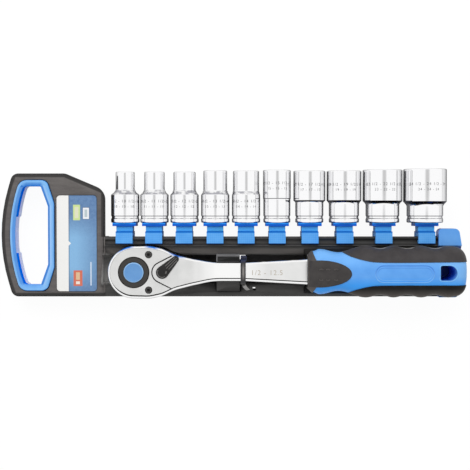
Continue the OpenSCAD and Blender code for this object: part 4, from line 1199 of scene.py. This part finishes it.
def join(parts, name):
    """One object from several, their meshes laid together."""
    bm = bmesh.new()
    looks = []
    for piece in parts:
        own = [LOOKS[material.name] for material in piece.data.materials]
        looks += [look for look in own if look not in looks]
        first = len(bm.faces)
        bm.from_mesh(piece.data)
        bm.faces.ensure_lookup_table()
        for face in bm.faces[first:]:
            face.material_index = looks.index(own[face.material_index])
        bpy.data.objects.remove(piece)
    for vertex in bm.verts:
        vertex.co /= MM
    return make_mesh(name, bm, looks)


def lever_piece():
    """Reverse lever: a round boss with a tapering arm, ribbed along its top."""
    boss_r, tip_at, tip_r, shaft_r = 4.75, 14.3, 2.5, 4.5
    turn = radians(45)
    tilt = degrees(asin((boss_r - tip_r) / tip_at))

    def outline(d):
        around = arc((0, 0), boss_r - d, 90 - tilt, 270 + tilt, 36)
        return around + arc((tip_at, 0), tip_r - d, -90 + tilt, 90 - tilt, 18)

    def place(x, y, z):
        along = x * cos(turn) - y * sin(turn)
        up = x * sin(turn) + y * cos(turn)
        return (LEVER_X + along, AXIS_Y + up, z)

    def height(x, z, drop):
        return z - drop - blend(x, 4, 16, 0.0, 0.35)

    surface = FACE_Z + 2.45
    rings = []
    for d, drop in ((0.25, 2.35), (0.0, 2.1), (0.0, 0.9), (0.18, 0.42), (0.55, 0.1), (1.1, 0.0)):
        rings.append([place(x, y, height(x, surface, drop)) for x, y in outline(d)])
    bm = bmesh.new()
    add_loft(bm, rings)
    shaft = [(shaft_r, HEAD_Z + 2.2), (shaft_r, FACE_Z + 0.5)]
    add_loft(bm, revolve_rings(shaft, 32, standing(LEVER_X, AXIS_Y)))
    body = make_mesh("lever_body", bm, [LEVER])
    ribs = bmesh.new()
    # Ribs, a bead round the boss and a small dot on it, painted pale as highlights.
    for offset, start, end in ((-1.35, 5.2, 14.4), (0.0, 4.4, 15.2), (1.35, 5.2, 14.4)):
        path = [(x, offset * (1.0 + (14 - x) * 0.035)) for x in np.linspace(start, end, 14)]
        bead(ribs, path, 0.55, 0.4, lambda x, y: height(x, surface, 0.02), closed=False)
    bead(ribs, arc((0, 0), boss_r - 1.2, 100, 260, 24), 0.5, 0.2, lambda x, y: surface, closed=False)
    pill(ribs, (1.6, -2.3), (2.6, -1.7), 0.5, 0.3, lambda x, y: surface)
    for vertex in ribs.verts:
        vertex.co = place(*vertex.co)
    piece = join([body, make_mesh("ribs", ribs, [RIB])], "reverse_lever_moulding")
    stand_in(piece, "lever", ["reverse_lever"])


def button_piece():
    """Release button: a dished top with a rounded rim, hollow round its stem for the spring."""
    r = BUTTON_R - 0.12
    stem_r, roof = 1.6, BUTTON_TOP - 0.72
    recess = high("button_spring").x - HEAD_X + 0.3
    profile = [(stem_r, low("release_button").z), (stem_r, roof), (recess, roof)]
    profile += [(recess, BUTTON_TOP - 2.4), (r, BUTTON_TOP - 2.3), (r, BUTTON_TOP - 0.7)]
    profile += [(r - 0.12, BUTTON_TOP - 0.32), (r - 0.42, BUTTON_TOP - 0.06), (r - 0.8, BUTTON_TOP)]
    profile += [(r - 1.2, BUTTON_TOP - 0.05), (r - 2.4, BUTTON_TOP - 0.24), (0.6, BUTTON_TOP - 0.34)]
    piece = turned("release_button_cap", profile, standing(HEAD_X, AXIS_Y), [BUTTON], 72)
    stand_in(piece, "button", ["release_button"])


# ---- Handle ----

FRONT_X = 57.3
ROUND_X = 169.2
SQUARE = 2.2


def butt_round(x):
    """1 up to the grip's butt, then down to 0 at its end in a quarter circle."""
    return sqrt(max(0.0, 1 - (max(0.0, x - ROUND_X) / (BUTT_X - ROUND_X)) ** 2))


def grip_half(x):
    """Half the width of the grip at x, over its skins."""
    if x <= WAVE_X:
        return through(x, [(FRONT_X, 12.9), (61.2, 16.1), (66.8, 17.8), (81.2, 15.3), (WAVE_X, 19.9)])
    butt = 10.6
    ridged = 18.9 + cos(2 * pi * (min(x, ROUND_X) - WAVE_X) / WAVE_L)
    return butt + (ridged - butt) * butt_round(x)


def grip_thick(x):
    """Half the thickness of the grip at x, over its skins."""
    butt = 8.5
    full = through(x, [(FRONT_X, 11.4), (61.5, 13.8), (80.3, 13.2), (WAVE_X, 15.0)])
    return butt + (full - butt) * butt_round(x)


def grip_surface(d):
    """Gives the height of the grip's upper face at x, y, grown by d."""
    def height(x, y):
        share = min(0.999, abs(y - AXIS_Y) / (grip_half(x) + d))
        return AXIS_Z + (grip_thick(x) + d) * (1 - share ** SQUARE) ** (1 / SQUARE)
    return height


def grip_form(name, d, look):
    """Whole form of the grip, grown by d."""
    stations = [FRONT_X, 57.7, 58.4, 59.2] + list(np.linspace(60, ROUND_X, 90))
    butt = np.radians([10, 20, 30, 40, 50, 60, 70, 79, 86, 90])
    stations += [ROUND_X + (BUTT_X - ROUND_X) * sin(a) for a in butt]
    angles = np.linspace(0, 2 * pi, 97)[:-1]
    rings = []
    for x in stations:
        w, t = grip_half(x) + d, grip_thick(x) + d
        place_x = x + d * max(0.0, (x - ROUND_X) / (BUTT_X - ROUND_X))
        ring = []
        for a in angles:
            c, s = cos(a), sin(a)
            ring.append((place_x, AXIS_Y + w * copysign(abs(c) ** (2 / SQUARE), c),
                         AXIS_Z + t * copysign(abs(s) ** (2 / SQUARE), s)))
        rings.append(ring)
    return loft(name, rings, [look], sharp=40)


def skin_outline(side):
    """Plan of one soft skin, about the grip's axis."""
    if side > 0:
        curve = [(80, 20), (83.8, 15.6), (87.5, 13.1), (92, 11.2), (100.5, 8.9), (109.1, 7.7)]
        curve += [(125, 7.4), (150, 7.6), (184, 8.0)]
    else:
        curve = [(84, 21), (88.5, 16.3), (92.5, 14.0), (97.3, 12.3), (103, 10.9), (109.2, 10.2)]
        curve += [(125, 9.9), (150, 9.9), (184, 9.9)]
    return [(x, AXIS_Y + side * v) for x, v in smooth_path(curve, 6) + [(184, 30), (80, 30)]]


def pad_outline(d):
    """Thumb pad: straight sides from the front, then a half oval."""
    front, middle, along, across = 58.2, 66, 24.2 - d, 10.3 - d
    turns = np.radians(np.linspace(90, -90, 41))
    oval = [(middle + along * cos(a), TOP_Y + across * sin(a)) for a in turns]
    return [(front, TOP_Y + across)] + oval + [(front, TOP_Y - across)]


def hole_outline(d):
    """Hanging hole: square to the front, round to the butt."""
    x0, x1, half, r = 157.0 - d, 169.6 + d, 5.65 + d, 1.5
    outline = arc((x0 + r, HOLE_Y - half + r), r, 270, 180, 6)
    outline += arc((x0 + r, HOLE_Y + half - r), r, 180, 90, 6)
    return outline + arc((x1 - half, HOLE_Y), half, 90, -90, 24)


def stadium(x0, x1, half):
    """Long outline with round ends, along the grip's top."""
    return arc((x1 - half, TOP_Y), half, -90, 90, 20) + arc((x0 + half, TOP_Y), half, 90, 270, 20)


def handle_core():
    """Hard core with its panel's lines and the rim of its hole."""
    sunk = -0.45
    core = grip_form("handle_core_moulding", sunk, HANDLE)
    carve(core, [slab(hole_outline(0), 5, ABOVE + 5, HANDLE)])
    surface = grip_surface(sunk)
    raised = bmesh.new()
    bead(raised, stadium(108.0, 152.3, 6.35), 0.7, 0.35, surface)
    bead(raised, stadium(109.7, 150.6, 4.65), 0.45, 0.18, surface)
    rim = bmesh.new()
    bead(rim, hole_outline(0.45), 0.8, 0.32, surface)
    details = [make_mesh("handle_lines", raised, [HANDLE]), make_mesh("hole_rim", rim, [HOLE_RIM])]
    stand_in(join([core] + details, "handle_core_moulding"), "ratchet", ["handle_core"])


def zone_of_grip(name, d, outline, z0, look):
    """The part of the grip's form, grown by d, that lies inside an outline and above z0."""
    return carve(grip_form(name, d, look), [slab(outline, z0, ABOVE + 5, look)], "INTERSECT")


def thumb_piece():
    """Front collar and thumb pad, with six small dots."""
    far = 30
    zone = [(50, AXIS_Y + far), (60.5, AXIS_Y + far), (60.9, AXIS_Y + 17.2), (61.7, AXIS_Y + 13.4)]
    zone += [(63.9, TOP_Y + 9.6), (64.6, TOP_Y + 8.0), (64.6, TOP_Y - 8.0), (63.6, TOP_Y - 10.4)]
    zone += [(61.7, AXIS_Y - 15), (60.9, AXIS_Y - 18.2), (60.5, AXIS_Y - far), (50, AXIS_Y - far)]
    parts = [zone_of_grip("front", 0.12, zone, 5, COLLAR)]
    highest = 0.45
    for grow, inset in ((0.1, 0.0), (0.32, 0.3), (highest, 0.75)):
        parts.append(zone_of_grip("pad", grow, pad_outline(inset), 34, PAD))
    dots = bmesh.new()
    for y, bend in ((TOP_Y + 3.6, 0.5), (TOP_Y - 4.6, -0.5)):
        for x in (67.0, 72.2, 78.4):
            path = [(x - 1.5, y - bend), (x - 0.8, y), (x, y + bend * 0.4), (x + 0.8, y), (x + 1.5, y - bend)]
            bead(dots, path, 0.9, highest, grip_surface(highest), closed=False)
    parts.append(make_mesh("dots", dots, [COLLAR]))
    stand_in(join(parts, "thumb_pad_moulding"), "ratchet", ["thumb_pad"])


def handle_pieces():
    """Hard core, two soft skins, the front collar and the thumb pad."""
    handle_core()
    for side, name, look in ((1, "grip_upper", RUBBER), (-1, "grip_lower", RUBBER_SHADED)):
        skin = zone_of_grip(f"{name}_skin", 0.0, skin_outline(side), 5, look)
        stand_in(skin, "ratchet", [name])
    thumb_piece()


def tie_tail():
    """Cut end of the tie, bent out from under the shank."""
    bend = [(8.3, -38.3, 30.5), (8.9, -39.7, 32.4), (9.9, -41.4, 32.6)]
    bend += [(11.3, -42.9, 31.2), (12.4, -43.6, 29.6)]
    section = ((-1.25, -0.25), (1.25, -0.25), (1.3, 0.1), (1.0, 0.3), (-1.0, 0.3), (-1.3, 0.1))
    rings = [[(x + a, y + a * 0.35, z + b) for a, b in section] for x, y, z in smooth_path(bend, 5)]
    stand_in(loft("tie_tail", rings, [TAIL]), "ratchet", [])


def tie_head():
    """Head of the tie over its slot, with the strip's slit in it."""
    x0, x1, y0, y1, r = 6.35, 10.9, -21.5, -17.15, 0.7
    plan = rounded([(x0, y0, r), (x1, y0, r), (x1, y1, r), (x0, y1, r)], 4)
    slit = [(7.1, -20.2), (10.1, -20.2), (10.1, -18.9), (7.1, -18.9)]
    piece = carve(slab(plan, 27.0, 33.4, STRAP, "tie_head"), [slab(slit, 32.6, 34, STRAP)])
    bevel(piece, 0.35, 35)
    stand_in(piece, "ratchet", [])


def dress_cad_nodes():
    """CAD nodes that show as they are: their look, and how far their edges are rounded."""
    looks = {
        "label_card": (CARD, 0.12), "end_cap": (CAP, 1.0), "tie": (STRAP, 0.3), "drive_gear": (DRIVE, 0.25),
        "pawl": (STEEL, 0), "pawl_plunger": (STEEL, 0), "pawl_spring": (WIRE, 0), "button_spring": (WIRE, 0),
    }
    looks.update({f"clip_{i}": (CLIP, 0.3) for i in range(1, 11)})
    for name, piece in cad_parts.items():
        look, width = looks.get(name, (CHROME, 0))
        piece.data.materials.clear()
        piece.data.materials.append(look.material)
        if width:
            soften(piece, width)


camera()
floor()
lights()
dress_cad_nodes()
tray_piece()
ring_piece()
sockets()
ratchet_body_piece()
shank_marks()
cover_piece()
screw_piece()
lever_piece()
button_piece()
handle_pieces()
tie_tail()
tie_head()

bpy.context.scene.view_settings.view_transform = "Standard"
